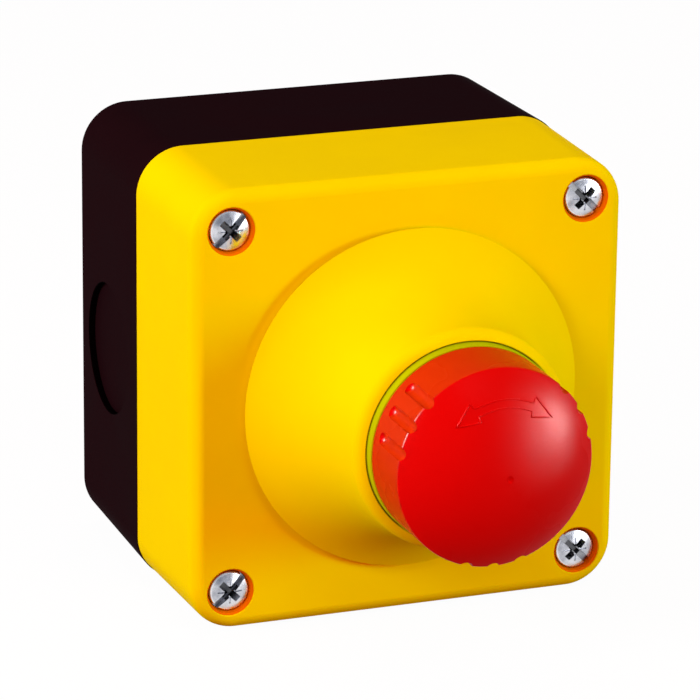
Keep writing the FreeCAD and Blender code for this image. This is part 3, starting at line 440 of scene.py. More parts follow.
def smooth(piece: Object, angle: float = 28.0) -> None:
    """Welds the slivers that cuts leave and shades a piece smooth, with its flat faces kept flat.

    Args:
        piece: The piece.
        angle: Largest angle in degrees that is shaded over.
    """
    edit(piece)
    bpy.ops.mesh.select_all(action="SELECT")
    bpy.ops.mesh.remove_doubles(threshold=SLIVER)
    bpy.ops.mesh.dissolve_degenerate(threshold=SLIVER)
    bpy.ops.object.mode_set(mode="OBJECT")
    bpy.ops.object.shade_smooth_by_angle(angle=math.radians(angle))
    modifier = piece.modifiers.new("flat_faces", "WEIGHTED_NORMAL")
    modifier.keep_sharp = True
    modifier.weight = 90
    bpy.ops.object.modifier_apply(modifier=modifier.name)


class NodeBoard:
    """A material's nodes, with short ways to add and link them."""

    noise_roughness = 0.55
    middle_span = (0.35, 0.65)

    def __init__(self, name: str) -> None:
        """Starts an empty material.

        Args:
            name: Name of the material.
        """
        self.material = bpy.data.materials.new(name)
        self.material.use_nodes = True
        self.tree = self.material.node_tree
        self.tree.nodes.clear()

    def add(self, kind: str, **values: object) -> bpy.types.Node:
        """Adds a node.

        Args:
            kind: Blender's name of the node's type.
            values: Values of its input sockets, with spaces written as underscores.

        Returns:
            The node.
        """
        node = self.tree.nodes.new(kind)
        for name, value in values.items():
            node.inputs[name.replace("_", " ")].default_value = value
        return node

    def link(self, source: Socket, target: Socket) -> None:
        """Links two sockets."""
        self.tree.links.new(source, target)

    def close(self, surface: Socket) -> bpy.types.Material:
        """Links the surface to the material's output and gives the material."""
        self.link(surface, self.add("ShaderNodeOutputMaterial").inputs["Surface"])
        return self.material

    def noise(self, scale: float, detail: float = 2.0, stretch: Colour = (1, 1, 1)) -> Socket:
        """Noise on the piece's own coordinates.

        Args:
            scale: Spots per metre.
            detail: Octaves of finer noise.
            stretch: Scale along each axis.

        Returns:
            The noise's value.
        """
        place = self.add("ShaderNodeTexCoord")
        mapping = self.add("ShaderNodeMapping", Scale=stretch)
        texture = self.add("ShaderNodeTexNoise", Scale=scale, Detail=detail, Roughness=self.noise_roughness)
        self.link(place.outputs["Object"], mapping.inputs["Vector"])
        self.link(mapping.outputs["Vector"], texture.inputs["Vector"])
        return texture.outputs["Fac"]

    def ramp(self, source: Socket, low: Colour, high: Colour, span: Point) -> Socket:
        """Two colours over a range of a value.

        Args:
            source: The value.
            low: Colour at the start of the range.
            high: Colour at its end.
            span: Start and end of the range.

        Returns:
            The colour.
        """
        node = self.add("ShaderNodeValToRGB")
        for element, place, colour in zip(node.color_ramp.elements, span, (low, high)):
            element.position = place
            element.color = (*colour, 1.0)
        self.link(source, node.inputs["Fac"])
        return node.outputs["Color"]

    def spread(self, source: Socket, span: Point, low: float, high: float) -> Socket:
        """A value spread between two limits.

        Args:
            source: The value.
            span: Start and end of the value's range.
            low: Result at the start.
            high: Result at the end.

        Returns:
            The result.
        """
        node = self.add("ShaderNodeMapRange", From_Min=span[0], From_Max=span[1], To_Min=low, To_Max=high)
        self.link(source, node.inputs["Value"])
        return node.outputs["Result"]

    def bump(self, height: Socket, strength: float, depth: float) -> bpy.types.Node:
        """A bumpy surface.

        Args:
            height: The height's value.
            strength: Share of the bump that shows.
            depth: Height of the bumps in millimetres.

        Returns:
            The bump node.
        """
        node = self.add("ShaderNodeBump", Strength=strength, Distance=depth * MM)
        self.link(height, node.inputs["Height"])
        return node


@dataclass(frozen=True)
class PlasticFinish:
    """Moulded plastic: two close tones, a fine grain and a slightly uneven gloss."""

    name: str
    light: Colour
    dark: Colour
    roughness: Point = (0.38, 0.46)
    gloss: float = 0.3
    ior: float = 1.49
    tone_scale: float = 45.0
    tone_span: Point = (0.36, 0.64)
    grain_scale: float = 2600.0
    grain_height: float = 0.006
    grain_strength: float = 0.5
    ripple_scale: float = 160.0
    ripple_height: float = 0.01
    ripple_strength: float = 0.25

    def make(self) -> bpy.types.Material:
        """Builds the material.

        Returns:
            The material.
        """
        board = NodeBoard(self.name)
        shader = board.add("ShaderNodeBsdfPrincipled", Specular_IOR_Level=self.gloss, IOR=self.ior)
        tone = board.noise(self.tone_scale, 3.0)
        board.link(board.ramp(tone, self.dark, self.light, self.tone_span), shader.inputs["Base Color"])
        rough = board.spread(tone, board.middle_span, *self.roughness)
        board.link(rough, shader.inputs["Roughness"])
        coarse = board.bump(board.noise(self.ripple_scale, 1.0), self.ripple_strength, self.ripple_height)
        fine = board.bump(board.noise(self.grain_scale), self.grain_strength, self.grain_height)
        board.link(coarse.outputs["Normal"], fine.inputs["Normal"])
        board.link(fine.outputs["Normal"], shader.inputs["Normal"])
        return board.close(shader.outputs["BSDF"])


@dataclass(frozen=True)
class MetalFinish:
    """Plated or drawn metal with fine marks along one axis and a mottled plating.

    Where shade_to is set, painted shade darkens the metal between two distances from the wall, in
    millimetres.
    """

    name: str
    light: Colour
    dark: Colour
    roughness: Point = (0.18, 0.34)
    mottle_scale: float = 420.0
    mottle_span: Point = (0.34, 0.6)
    mark_scale: float = 900.0
    mark_stretch: Colour = (1.0, 0.2, 1.0)
    mark_height: float = 0.01
    mark_strength: float = 0.35
    shade_from: float = 0.0
    shade_to: float = 0.0
    shade_left: float = 0.16

    def make(self) -> bpy.types.Material:
        """Builds the material.

        Returns:
            The material.
        """
        board = NodeBoard(self.name)
        shader = board.add("ShaderNodeBsdfPrincipled", Metallic=1.0)
        colour = board.ramp(board.noise(self.mottle_scale, 4.0), self.dark, self.light, self.mottle_span)
        if self.shade_to:
            # Painted shade: the colour darkens with distance towards the wall.
            colour = self.shaded(board, colour)
        board.link(colour, shader.inputs["Base Color"])
        marks = board.noise(self.mark_scale, 3.0, self.mark_stretch)
        rough = board.spread(marks, board.middle_span, *self.roughness)
        board.link(rough, shader.inputs["Roughness"])
        bump = board.bump(marks, self.mark_strength, self.mark_height)
        board.link(bump.outputs["Normal"], shader.inputs["Normal"])
        return board.close(shader.outputs["BSDF"])

    def shaded(self, board: NodeBoard, colour: Socket) -> Socket:
        """Paints shade on the metal, darker towards the wall, in the foot of a recess.

        Args:
            board: The material's nodes.
            colour: Colour of the clean metal.

        Returns:
            The darkened colour.
        """
        place = board.add("ShaderNodeTexCoord")
        axes = board.add("ShaderNodeSeparateXYZ")
        board.link(place.outputs["Object"], axes.inputs["Vector"])
        span = (-self.shade_from * MM, -self.shade_to * MM)
        dim = board.add("ShaderNodeVectorMath")
        dim.operation = "SCALE"
        board.link(colour, dim.inputs[0])
        board.link(board.spread(axes.outputs["Y"], span, 1.0, self.shade_left), dim.inputs["Scale"])
        return dim.outputs["Vector"]


class Finish(Enum):
    """Finishes of the station, each named as the record's material slot.

    Where two share a slot, the first carries painted shade (screw recesses, knockout walls, screw heads) or
    painted light (the skirt) on some faces, and CAD nodes take the last.
    """

    # Yellow with painted shade: a deeper orange tone for the faces inside the screw recesses.
    AMBER = PlasticFinish("yellow_plastic", (0.72, 0.16, 0.0), (0.69, 0.13, 0.0), gloss=0.001)
    YELLOW = PlasticFinish("yellow_plastic", (0.775, 0.61, 0.0), (0.755, 0.59, 0.0), gloss=0.001)
    # Black with painted shade: a darker black for the walls of the knockouts.
    SOOT = PlasticFinish("black_plastic", (0.001, 0.0002, 0.0003), (0.0008, 0.0002, 0.0002), gloss=0.001)
    BLACK = PlasticFinish("black_plastic", (0.0095, 0.0024, 0.0034), (0.008, 0.0019, 0.0028),
                          roughness=(0.5, 0.62), gloss=0.001, grain_height=0.02)
    # Red with painted light: an oranger tone for the skirt, standing for yellow light thrown on it by the
    # collar.
    SCARLET = PlasticFinish("red_plastic", (0.53, 0.024, 0.0003), (0.51, 0.021, 0.0003),
                            roughness=(0.26, 0.285), gloss=0.015, grain_scale=1900.0, ripple_height=0.002)
    RED = PlasticFinish("red_plastic", (0.575, 0.0008, 0.0005), (0.555, 0.0004, 0.0003),
                        roughness=(0.26, 0.285), gloss=0.015, grain_scale=1900.0, ripple_height=0.002)
    RING = PlasticFinish("ring_plastic", (0.4, 0.47, 0.0), (0.37, 0.44, 0.0), gloss=0.03)
    GREY = PlasticFinish("grey_plastic", (0.3, 0.31, 0.32), (0.26, 0.27, 0.28))
    BREAK = PlasticFinish("break_plastic", (0.6, 0.02, 0.015), (0.55, 0.015, 0.012))
    MAKE = PlasticFinish("make_plastic", (0.03, 0.32, 0.08), (0.025, 0.28, 0.07))
    RUBBER = PlasticFinish("seal_rubber", (0.03, 0.03, 0.032), (0.02, 0.02, 0.022),
                           roughness=(0.7, 0.82), gloss=0.2, grain_height=0.03)
    # Zinc with painted shade, darker towards the wall in the screws' cross recesses.
    HEAD = MetalFinish("zinc_steel", (0.7, 0.71, 0.76), (0.38, 0.39, 0.44), shade_from=61.2, shade_to=60.35)
    ZINC = MetalFinish("zinc_steel", (0.86, 0.87, 0.9), (0.62, 0.63, 0.68))
    SPRING = MetalFinish("spring_steel", (0.55, 0.55, 0.56), (0.4, 0.4, 0.42))
    BRASS = MetalFinish("contact_brass", (0.8, 0.58, 0.25), (0.68, 0.47, 0.18))


MATERIALS: dict[Finish, bpy.types.Material] = {finish: finish.value.make() for finish in Finish}


def dress(piece: Object, finish: Finish, body: Body, *nodes: str) -> None:
    """Brings a piece modelled in millimetres to the frame's metres and gives it its finish and body.

    Args:
        piece: The finished piece.
        finish: Its finish.
        body: The body that it rides on.
        nodes: The CAD nodes that it stands for.
    """
    piece.scale = (MM, MM, MM)
    settle(piece)
    piece.data.materials.clear()
    piece.data.materials.append(MATERIALS[finish])
    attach(piece, body.value)
    if nodes:
        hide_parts(*nodes)
    log.info("%s: %d faces, %s, on %s", piece.name, len(piece.data.polygons), finish.value.name, body.value)


def tint(piece: Object, finish: Finish, wanted: FaceTest) -> None:
    """Gives some faces of a dressed piece a second finish.

    Args:
        piece: The piece, in metres.
        finish: The second finish.
        wanted: Test of a face's middle, in millimetres, and its normal.
    """
    piece.data.materials.append(MATERIALS[finish])
    for face in piece.data.polygons:
        if wanted(face.center / MM, face.normal):
            face.material_index = 1


@dataclass
class EnclosureBase:
    """Black back box with the cable knockouts, columns, rails and wall holes. Millimetres."""

    depth: float = field(default_factory=lambda: depth_of("enclosure_base"))
    half: float = field(default_factory=lambda: half_width_of("enclosure_base"))
    draft: float = 0.4
    corner: float = 8.5
    side_wall: float = 3.0
    floor: float = 3.0
    back_round: float = 0.8
    rim_round: float = 0.2
    inner_round: float = 1.0
    seal_width: float = 1.3
    seal_depth: float = 1.4
    entry_radius: float = 11.85
    entry_depth: float = 1.2
    entry_level: float = 16.3
    entry_drop: float = 1.5
    entry_round: float = 0.3
    entry_steps: int = 128
    entry_facing: float = 0.8
    column_place: float = 32.4
    column_radius: float = 5.0
    column_steps: int = 64
    pilot_radius: float = 1.8
    pilot_depth: float = 15.75
    pilot_tip: float = 1.0
    pilot_steps: int = 32
    rail_rise: float = 3.0
    rail_width: float = 4.0
    rail_pitch: float = 26.0
    rail_half_length: float = 10.8
    hole_pitch: Point = (54.0, 40.0)
    hole_radius: float = 2.25
    hole_lead: float = 0.4
    hole_steps: int = 48
    boss_radius: float = 4.5
    boss_rise: float = 2.0
    boss_edge: float = 0.3

    def __post_init__(self) -> None:
        """Works out the places of the columns and of the wall holes."""
        self.column_places = corners(self.column_place, self.column_place)
        self.hole_places = corners(self.hole_pitch[0] / 2, self.hole_pitch[1] / 2)

    def shell(self) -> Object:
        """Models the outer and inner sides, the rim with its seal groove, and the floor.

        Returns:
            The closed shell.
        """
        outside = BoxSkin("base_outside", 0, self.depth, self.half - self.draft, self.half, self.corner,
                          wall_round=self.back_round, viewer_round=self.rim_round, round_steps=5).build()
        inner = self.half - self.side_wall
        inside = BoxSkin("base_inside", self.floor, self.depth, inner - self.draft, inner,
                         self.corner - self.side_wall, wall_round=self.inner_round, round_steps=4).build()
        piece = join([outside, inside], "enclosure_base_shell")
        edit(piece)
        fill_openings(piece, 0, self.floor)
        pick_opening(piece, self.depth)
        bpy.ops.mesh.bridge_edge_loops()
        land = (self.side_wall - self.seal_width) / 2
        pick_faces(piece, lambda middle, normal: abs(middle.y + self.depth) < NEAR)
        bpy.ops.mesh.inset(thickness=land, depth=0)
        bpy.ops.mesh.extrude_region_move(TRANSFORM_OT_translate={"value": (0, self.seal_depth, 0)})
        close_up()
        return piece

    def inner_work(self) -> Object:
        """Models the columns, rails and bosses that stand on the floor.

        Returns:
            Their solids in one mesh.
        """
        root = self.floor / 2
        rise = self.floor + self.boss_rise
        radius = self.boss_radius
        column = rod("base_column", self.column_radius, root, self.depth - PROUD, self.column_steps)
        boss = lathe("base_boss", [(0, root), (radius, root), (radius, rise - self.boss_edge),
                                   (radius - self.boss_edge, rise), (0, rise)], self.hole_steps)
        solids = [repeat(column, self.column_places), repeat(boss, self.hole_places)]
        half = self.rail_width / 2
        for middle in (-self.rail_pitch / 2, self.rail_pitch / 2):
            solids.append(block("rail", (-self.rail_half_length, -self.floor - self.rail_rise, middle - half),
                                (self.rail_half_length, -root, middle + half)))
        return join(solids, "base_inner_work")

    def holes(self) -> Object:
        """Models the cutters of the wall holes and the screw pilots.

        Returns:
            The cutters in one mesh.
        """
        deep = self.floor + self.boss_rise + OVERRUN
        radius = self.hole_radius
        mouth = radius + self.hole_lead
        hole = lathe("wall_hole", [(0, -OVERRUN), (mouth, -OVERRUN), (mouth, 0), (radius, self.hole_lead),
                                   (radius, deep), (0, deep)], self.hole_steps)
        foot = self.depth - self.pilot_depth
        over = self.depth + OVERRUN
        narrow = self.pilot_radius
        pilot = lathe("pilot", [(0, foot), (narrow, foot + self.pilot_tip), (narrow, over), (0, over)],
                      self.pilot_steps)
        return join([repeat(hole, self.hole_places), repeat(pilot, self.column_places)], "base_holes")

    def knockouts(self, piece: Object) -> None:
        """Sinks the round cable knockouts into both sides and rounds their edges.

        Args:
            piece: The base.
        """
        lean = math.atan2(self.draft, self.depth)
        outer = self.half - self.draft * (1 - self.entry_level / self.depth)
        mouth = self.entry_radius + self.entry_round
        chain = [(0, -self.entry_depth), (self.entry_radius, -self.entry_depth)]
        chain += arc((mouth, PROUD - self.entry_round), self.entry_round, 180, 90, 5)
        chain += [(mouth, 2 * OVERRUN), (0, 2 * OVERRUN)]
        pattern = lathe("knockout", chain, self.entry_steps)
        for side in (-1, 1):
            tool = twin_of(pattern, "knockout_cutter")
            tool.rotation_euler = (0, 0, side * (math.pi / 2 + lean))
            tool.location = (side * outer, -self.entry_level, -self.entry_drop)
            settle(tool)
            work(piece, tool, Operation.CUT)
        discard(pattern)

    def in_entry_shade(self, middle: Vector, normal: Vector) -> bool:
        """Whether a face is the wall of a knockout, which little light reaches and which is painted a darker
        black as shade.
        """
        off = math.hypot(middle.y + self.entry_level, middle.z + self.entry_drop) - self.entry_radius
        return (abs(off) < self.entry_round and abs(middle.x) > self.half - self.side_wall
                and abs(normal.x) < self.entry_facing)

    def build(self) -> None:
        """Models the whole base."""
        piece = self.shell()
        work(piece, self.inner_work(), Operation.WELD)
        work(piece, self.holes(), Operation.CUT)
        self.knockouts(piece)
        smooth(piece)
        dress(piece, Finish.BLACK, Body.HOUSING, "enclosure_base")
        # Painted shade: the knockout walls take the darker black.
        tint(piece, Finish.SOOT, self.in_entry_shade)


@dataclass
class Cover:
    """Yellow front with the flared collar and the screw recesses. Millimetres.

    foot_bend gives the points of the flare's foot edge, outwards and forwards, in shares of foot_edge.
    """

    joint: float = field(default_factory=lambda: depth_of("enclosure_base"))
    rim: float = field(default_factory=lambda: depth_of("cover"))
    half: float = field(default_factory=lambda: half_width_of("cover"))
    rim_rise: float = 26.3
    front_half: float = 39.42
    corner: float = 8.4
    front_round: float = 2.4
    side_wall: float = 3.0
    front_wall: float = 3.0
    foot_rise: float = 1.7
    foot_lean: float = 1.1
    foot_edge: float = 0.12
    foot_bend: tuple[Point, ...] = ((-0.7, -1.0), (-0.15, -0.3), (-0.4, 0.35))
    flare_radius: float = 30.5
    flare_steps: int = 48
    neck_radius: float = 19.65
    neck_rise: float = 24.0
    lip_round: float = 2.4
    lip_steps: int = 12
    bore: float = 17.8
    bore_round: float = 0.15
    neck_wall: float = 3.0
    hollow_steps: int = 8
    seat_drop: float = 11.3
    seat_wall: float = 3.0
    panel_hole: float = 11.25
    turn_steps: int = 256
    screw_place: float = 32.4
    sink_radius: float = 3.72
    sink_mouth: float = 4.25
    sink_slope: float = 1.3
    sink_bend: Point = (0.3, 0.5)
    sink_round: float = 0.2
    sink_depth: float = 2.9
    sink_steps: int = 128
    column_radius: float = 5.0
    column_steps: int = 64
    shaft_radius: float = 2.1
    shaft_steps: int = 48

    def __post_init__(self) -> None:
        """Works out the levels, the screw axes and the flare's sweep."""
        self.front = self.rim - self.rim_rise
        self.inside = self.front - self.front_wall
        self.sink_floor = self.front - self.sink_depth
        self.places = corners(self.screw_place, self.screw_place)
        run = self.flare_radius - self.neck_radius
        height = self.neck_rise - self.foot_rise
        self.sweep = (run * run + height * height) / (2 * run)
        self.sweep_centre = (self.neck_radius + self.sweep, self.front + self.neck_rise)
        self.seat_top = self.rim - self.seat_drop
        self.seat_under = self.seat_top - self.seat_wall

    def hollow(self, depth: float) -> float:
        """Radius of the collar's inner flare at a depth."""
        drop = self.sweep_centre[1] - depth
        return self.sweep_centre[0] - math.sqrt((self.sweep + self.neck_wall) ** 2 - drop ** 2)

    def lip(self) -> Chain:
        """Shapes the rounded lip.

        Returns:
            Its points, from the neck to the flat beside the bore.
        """
        start = (self.neck_radius, self.front + self.neck_rise)
        end = (self.bore + self.bore_round, self.rim)
        half = math.dist(start, end) / 2
        reach = math.sqrt(self.lip_round ** 2 - half ** 2)
        along = ((end[0] - start[0]) / (2 * half), (end[1] - start[1]) / (2 * half))
        centre = ((start[0] + end[0]) / 2 - along[1] * reach, (start[1] + end[1]) / 2 + along[0] * reach)
        first = math.degrees(math.atan2(start[1] - centre[1], start[0] - centre[0]))
        last = math.degrees(math.atan2(end[1] - centre[1], end[0] - centre[0]))
        return arc(centre, self.lip_round, first, last, self.lip_steps)[1:]

    def collar(self) -> Object:
        """Models the flared collar from the front face round to its inner flare.

        Returns:
            The collar as an open shell.
        """
        foot = self.flare_radius
        level = self.front + self.foot_rise
        low = math.degrees(math.atan2(level - self.sweep_centre[1], foot - self.sweep_centre[0]))
        chain = [(foot - self.foot_lean, self.front)]
        chain += [(foot + self.foot_edge * out, level + self.foot_edge * up) for out, up in self.foot_bend]
        chain += arc(self.sweep_centre, self.sweep, low + 360, 180, self.flare_steps)[1:]
        chain += self.lip()
        chain += [(self.bore, self.rim - self.bore_round), (self.bore, self.seat_top),
                  (self.panel_hole, self.seat_top), (self.panel_hole, self.seat_under)]
        step = (self.seat_under - self.inside) / self.hollow_steps
        for number in range(self.hollow_steps + 1):
            depth = self.seat_under - step * number
            chain.append((self.hollow(depth), depth))
        return lathe("cover_collar", chain, self.turn_steps)

    def sinks(self) -> Object:
        """Models the cutters of the screw recesses, with a rounded mouth.

        Returns:
            The cutters in one mesh.
        """
        front = self.front
        radius = self.sink_radius
        mouth = self.sink_mouth
        rim = mouth + self.sink_round
        ease = self.sink_round * 0.3
        over = front + OVERRUN
        chain = [(0, self.sink_floor), (radius, self.sink_floor), (radius, front - self.sink_slope),
                 (mouth - self.sink_bend[0], front - self.sink_bend[1]), (mouth, front - self.sink_round),
                 (mouth + ease, front - ease), (rim, front + PROUD), (rim, over), (0, over)]
        return repeat(lathe("screw_sink", chain, self.sink_steps), self.places)

    def in_sink_shade(self, middle: Vector, normal: Vector) -> bool:
        """Whether a face belongs to a screw recess, which is painted a deeper orange tone as shade."""
        off = math.hypot(abs(middle.x) - self.screw_place, abs(middle.z) - self.screw_place)
        return off < self.sink_mouth and self.sink_floor - 5 * PROUD < -middle.y < self.front - PROUD

    def build(self) -> None:
        """Models the whole cover."""
        outside = BoxSkin("cover_outside", self.joint, self.front, self.half, self.front_half, self.corner,
                          viewer_round=self.front_round, corner_steps=24, round_steps=10).build()
        inner = self.half - self.side_wall
        lean = self.half - self.front_half
        inside = BoxSkin("cover_inside", self.joint, self.inside, inner, inner - lean,
                         self.corner - self.side_wall).build()
        piece = join([outside, inside, self.collar()], "cover_front")
        edit(piece)
        fill_openings(piece, self.front, self.inside, self.joint)
        close_up()
        top = self.front - self.front_wall / 2
        column = rod("cover_column", self.column_radius, self.joint + PROUD, top, self.column_steps)
        work(piece, repeat(column, self.places), Operation.WELD)
        work(piece, self.sinks(), Operation.CUT)
        deep = self.joint - OVERRUN
        shaft = rod("screw_shaft", self.shaft_radius, deep, self.sink_floor + OVERRUN, self.shaft_steps)
        work(piece, repeat(shaft, self.places), Operation.CUT)
        smooth(piece)
        dress(piece, Finish.YELLOW, Body.HOUSING, "cover")
        # Painted shade: the faces inside the screw recesses take the deeper orange tone.
        tint(piece, Finish.AMBER, self.in_sink_shade)


@dataclass
class CoverScrews:
    """Zinc-plated pan-head screws with a slot over a cross recess. Millimetres.

    Each bar of the recess is its width, its length, its depth below the head's top and the share of
    width and length left at its foot.
    """

    seat: float = field(default_factory=lambda: Cover().sink_floor)
    tip: float = field(default_factory=lambda: depth_of("cover_screws", False))
    place: float = Cover.screw_place
    head_radius: float = 3.62
    head_height: float = 2.7
    head_crown: float = 0.8
    head_edge: float = 0.45
    head_foot: float = 0.15
    crown_steps: int = 8
    shank_radius: float = 1.75
    tip_length: float = 1.2
    tip_share: float = 0.45
    turn_steps: int = 96
    slot: tuple[float, ...] = (1.15, 8.24, 1.55, 1.0)
    cross: tuple[float, ...] = (1.25, 4.6, 2.4, 0.55)
    tick: tuple[float, ...] = (0.3, 5.0, 0.55, 0.8)
    slot_turns: tuple[float, ...] = (45.0, 45.0, 135.0, 135.0)

    def __post_init__(self) -> None:
        """Works out the level of the head's top."""
        self.top = self.seat + self.head_height

    def blank(self) -> Object:
        """Models the head and the shank without a recess.

        Returns:
            The blank on the button's axis.
        """
        sweep = (self.head_radius ** 2 + self.head_crown ** 2) / (2 * self.head_crown)
        flat = self.head_radius - self.head_edge
        chain = [(0, self.top)]
        for step in range(1, self.crown_steps + 1):
            radius = flat * step / self.crown_steps
            chain.append((radius, self.top - sweep + math.sqrt(sweep * sweep - radius * radius)))
        shoulder = chain[-1][1] - self.head_edge
        chain += arc((flat, shoulder), self.head_edge, 80, 0, 5)
        chain += [(self.head_radius, self.seat + self.head_foot),
                  (self.head_radius - self.head_foot, self.seat),
                  (self.shank_radius, self.seat), (self.shank_radius, self.tip + self.tip_length),
                  (self.shank_radius * self.tip_share, self.tip), (0, self.tip)]
        return lathe("cover_screw", chain, self.turn_steps)

    def bar(self, width: float, length: float, depth: float, share: float, turn: float) -> Object:
        """Models one bar of the recess tool, narrower at its foot.

        Args:
            width: Width at the head's top.
            length: Length at the head's top.
            depth: Depth below the head's top.
            share: Share of width and length left at the foot.
            turn: Turn in degrees.

        Returns:
            The bar.
        """
        half = length / 2
        side = width / 2
        piece = block("recess_bar", (-half, -self.top, -side), (half, -self.top + depth, side))
        edit(piece)
        pick_faces(piece, lambda middle, normal: normal.y > STRAIGHT)
        bpy.ops.transform.resize(value=(share, 1, share), center_override=(0, 0, 0))
        pick_faces(piece, lambda middle, normal: normal.y < -STRAIGHT)
        bpy.ops.mesh.extrude_region_move(TRANSFORM_OT_translate={"value": (0, -OVERRUN, 0)})
        bpy.ops.object.mode_set(mode="OBJECT")
        piece.rotation_euler = (0, -math.radians(turn), 0)
        settle(piece)
        return piece

    def on_rim(self, middle: Vector, normal: Vector) -> bool:
        """Whether a face is the head's side, which gets the plain zinc without the painted recess shade and
        mirrors the recess round it.
        """
        off = math.hypot(abs(middle.x) - self.place, abs(middle.z) - self.place)
        return off > self.head_radius - self.head_edge

    def build(self) -> None:
        """Models one screw with its recess and sets four copies in their places."""
        blank = self.blank()
        bars = ((self.slot, 0), (self.cross, 0), (self.cross, 90), (self.tick, 45), (self.tick, 135))
        for size, turn in bars:
            work(blank, self.bar(*size, turn), Operation.CUT)
        places = corners(self.place, self.place)
        for name, (x, z), turn in zip(SCREW_PIECES, places, self.slot_turns):
            screw = copy_to(blank, name, x, z, turn)
            smooth(screw, 32)
            # The head takes the zinc with painted shade in its recess; its side gets the plain zinc.
            dress(screw, Finish.HEAD, Body.HOUSING, "cover_screws")
            tint(screw, Finish.ZINC, self.on_rim)
        discard(blank)


@dataclass
class Button:
    """Red twist-release button: skirt with finger grooves, low dome, turn arrow. Millimetres and degrees.

    The arrow's tip and barbs are those of its right head, to the right and upwards of the button's axis.
    """

    top: float = field(default_factory=lambda: depth_of("button_cap"))
    hub_end: float = field(default_factory=lambda: depth_of("button_cap", False))
    radius: float = 17.4
    turn_steps: int = 288
    skirt_under: float = 90.5
    skirt_round: float = 0.2
    skirt_facing: float = 0.5
    dome_rise: float = 6.5
    dome_steps: int = 40
    edge_round: float = 0.7
    edge_steps: int = 8
    wall: float = 2.0
    rib_outer: float = 13.0
    rib_inner: float = 11.4
    rib_drop: float = 7.2
    hub_radius: float = 4.0
    groove_radius: float = 1.25
    groove_offset: float = 0.48
    groove_start: float = 93.9
    groove_pitch: float = 16.0
    groove_edge: float = 0.25
    groove_crease: float = 25.0
    groove_clear: float = 1.0
    groove_steps: int = 48
    group_angles: tuple[float, ...] = (30.0, 150.0, 270.0)
    pip_radius: float = 0.6
    pip_depth: float = 0.6
    arrow_outer: float = 12.8
    arrow_inner: float = 11.55
    arrow_angle: float = 66.0
    arrow_tip: Point = (8.45, 8.95)
    inner_barb: Point = (4.4, 9.7)
    outer_barb: Point = (5.85, 12.5)
    arrow_steps: int = 14
    arrow_part: float = 0.8
    arrow_bead: float = 0.15

    def __post_init__(self) -> None:
        """Works out the dome's sphere."""
        self.sweep = (self.radius ** 2 + self.dome_rise ** 2) / (2 * self.dome_rise)
        self.centre = self.top - self.sweep

    def dome(self, radius: float, inset: float = 0.0) -> float:
        """Depth of the dome at a radius, or of a sphere inset below it."""
        return self.centre + math.sqrt((self.sweep - inset) ** 2 - radius ** 2)

    def profile(self) -> Chain:
        """Shapes the button's turning profile.

        Returns:
            Its points, from the pip outwards and back to the hub.
        """
        pip = self.pip_radius
        chain = [(0, self.top - self.pip_depth), (pip * 0.55, self.top - self.pip_depth * 0.8),
                 (pip * 0.85, self.dome(pip) - self.pip_depth * 0.3), (pip * 1.1, self.dome(pip * 1.1))]
        bend_x = self.radius - self.edge_round
        bend_reach = self.sweep - self.edge_round
        bend_level = self.centre + math.sqrt(bend_reach ** 2 - bend_x ** 2)
        edge_angle = math.degrees(math.acos(bend_x / bend_reach))
        first = math.degrees(math.acos(pip * 1.6 / self.sweep))
        chain += arc((0, self.centre), self.sweep, first, edge_angle, self.dome_steps)
        chain += arc((bend_x, bend_level), self.edge_round, edge_angle, 0, self.edge_steps)[1:]
        chain += [(self.radius, self.skirt_under + self.skirt_round),
                  (self.radius - self.skirt_round, self.skirt_under)]
        inner = self.radius - self.wall
        seat = self.top - self.rib_drop
        chain += [(inner, self.skirt_under), (inner, self.dome(inner, self.wall)),
                  (self.rib_outer, self.dome(self.rib_outer, self.wall)), (self.rib_outer, seat),
                  (self.rib_inner, seat), (self.rib_inner, self.dome(self.rib_inner, self.wall)),
                  (self.hub_radius, self.dome(self.hub_radius, self.wall)), (self.hub_radius, self.hub_end),
                  (0, self.hub_end)]
        return chain

    def groove_cutters(self) -> Object:
        """Models one finger groove with a rounded end and copies it round the skirt.

        Returns:
            The cutters in one mesh.
        """
        chain = arc((0, self.groove_start), self.groove_radius, 270, 360, 10)
        chain += [(self.groove_radius, self.top), (0, self.top)]
        reach = self.radius + self.groove_offset
        places = []
        for group in self.group_angles:
            places += arc((0, 0), reach, group - self.groove_pitch, group + self.groove_pitch, 2)
        return repeat(lathe("finger_groove", chain, self.groove_steps), places)

    def on_groove_edge(self, edge: bmesh.types.BMEdge) -> bool:
        """Whether an edge is the outward edge of a finger groove or of the dome between them."""
        middle = (edge.verts[0].co + edge.verts[1].co) / 2
        return (edge.calc_face_angle_signed(0) > math.radians(self.groove_crease)
                and math.hypot(middle.x, middle.z) > self.radius - self.groove_radius
                and -middle.y > self.skirt_under + self.groove_clear)

    def on_skirt_bounce(self, middle: Vector, normal: Vector) -> bool:
        """Whether a face is on the thin skirt, which is painted an oranger tone as the yellow light that the
        collar throws on it.
        """
        off = math.hypot(middle.x, middle.z)
        return off > self.radius - self.groove_radius and abs(normal.y) < self.skirt_facing

    def cap(self) -> None:
        """Models the button itself."""
        piece = lathe("button_dome", self.profile(), self.turn_steps)
        work(piece, self.groove_cutters(), Operation.CUT)
        edit(piece)
        pick(piece, Kind.EDGE, self.on_groove_edge)
        bpy.ops.mesh.bevel(offset=self.groove_edge, segments=3, affect="EDGES", clamp_overlap=True)
        bpy.ops.object.mode_set(mode="OBJECT")
        smooth(piece, 35)
        dress(piece, Finish.RED, Body.BUTTON, "button_cap")
        # Painted light: the skirt takes the oranger tone of yellow light from the collar.
        tint(piece, Finish.SCARLET, self.on_skirt_bounce)

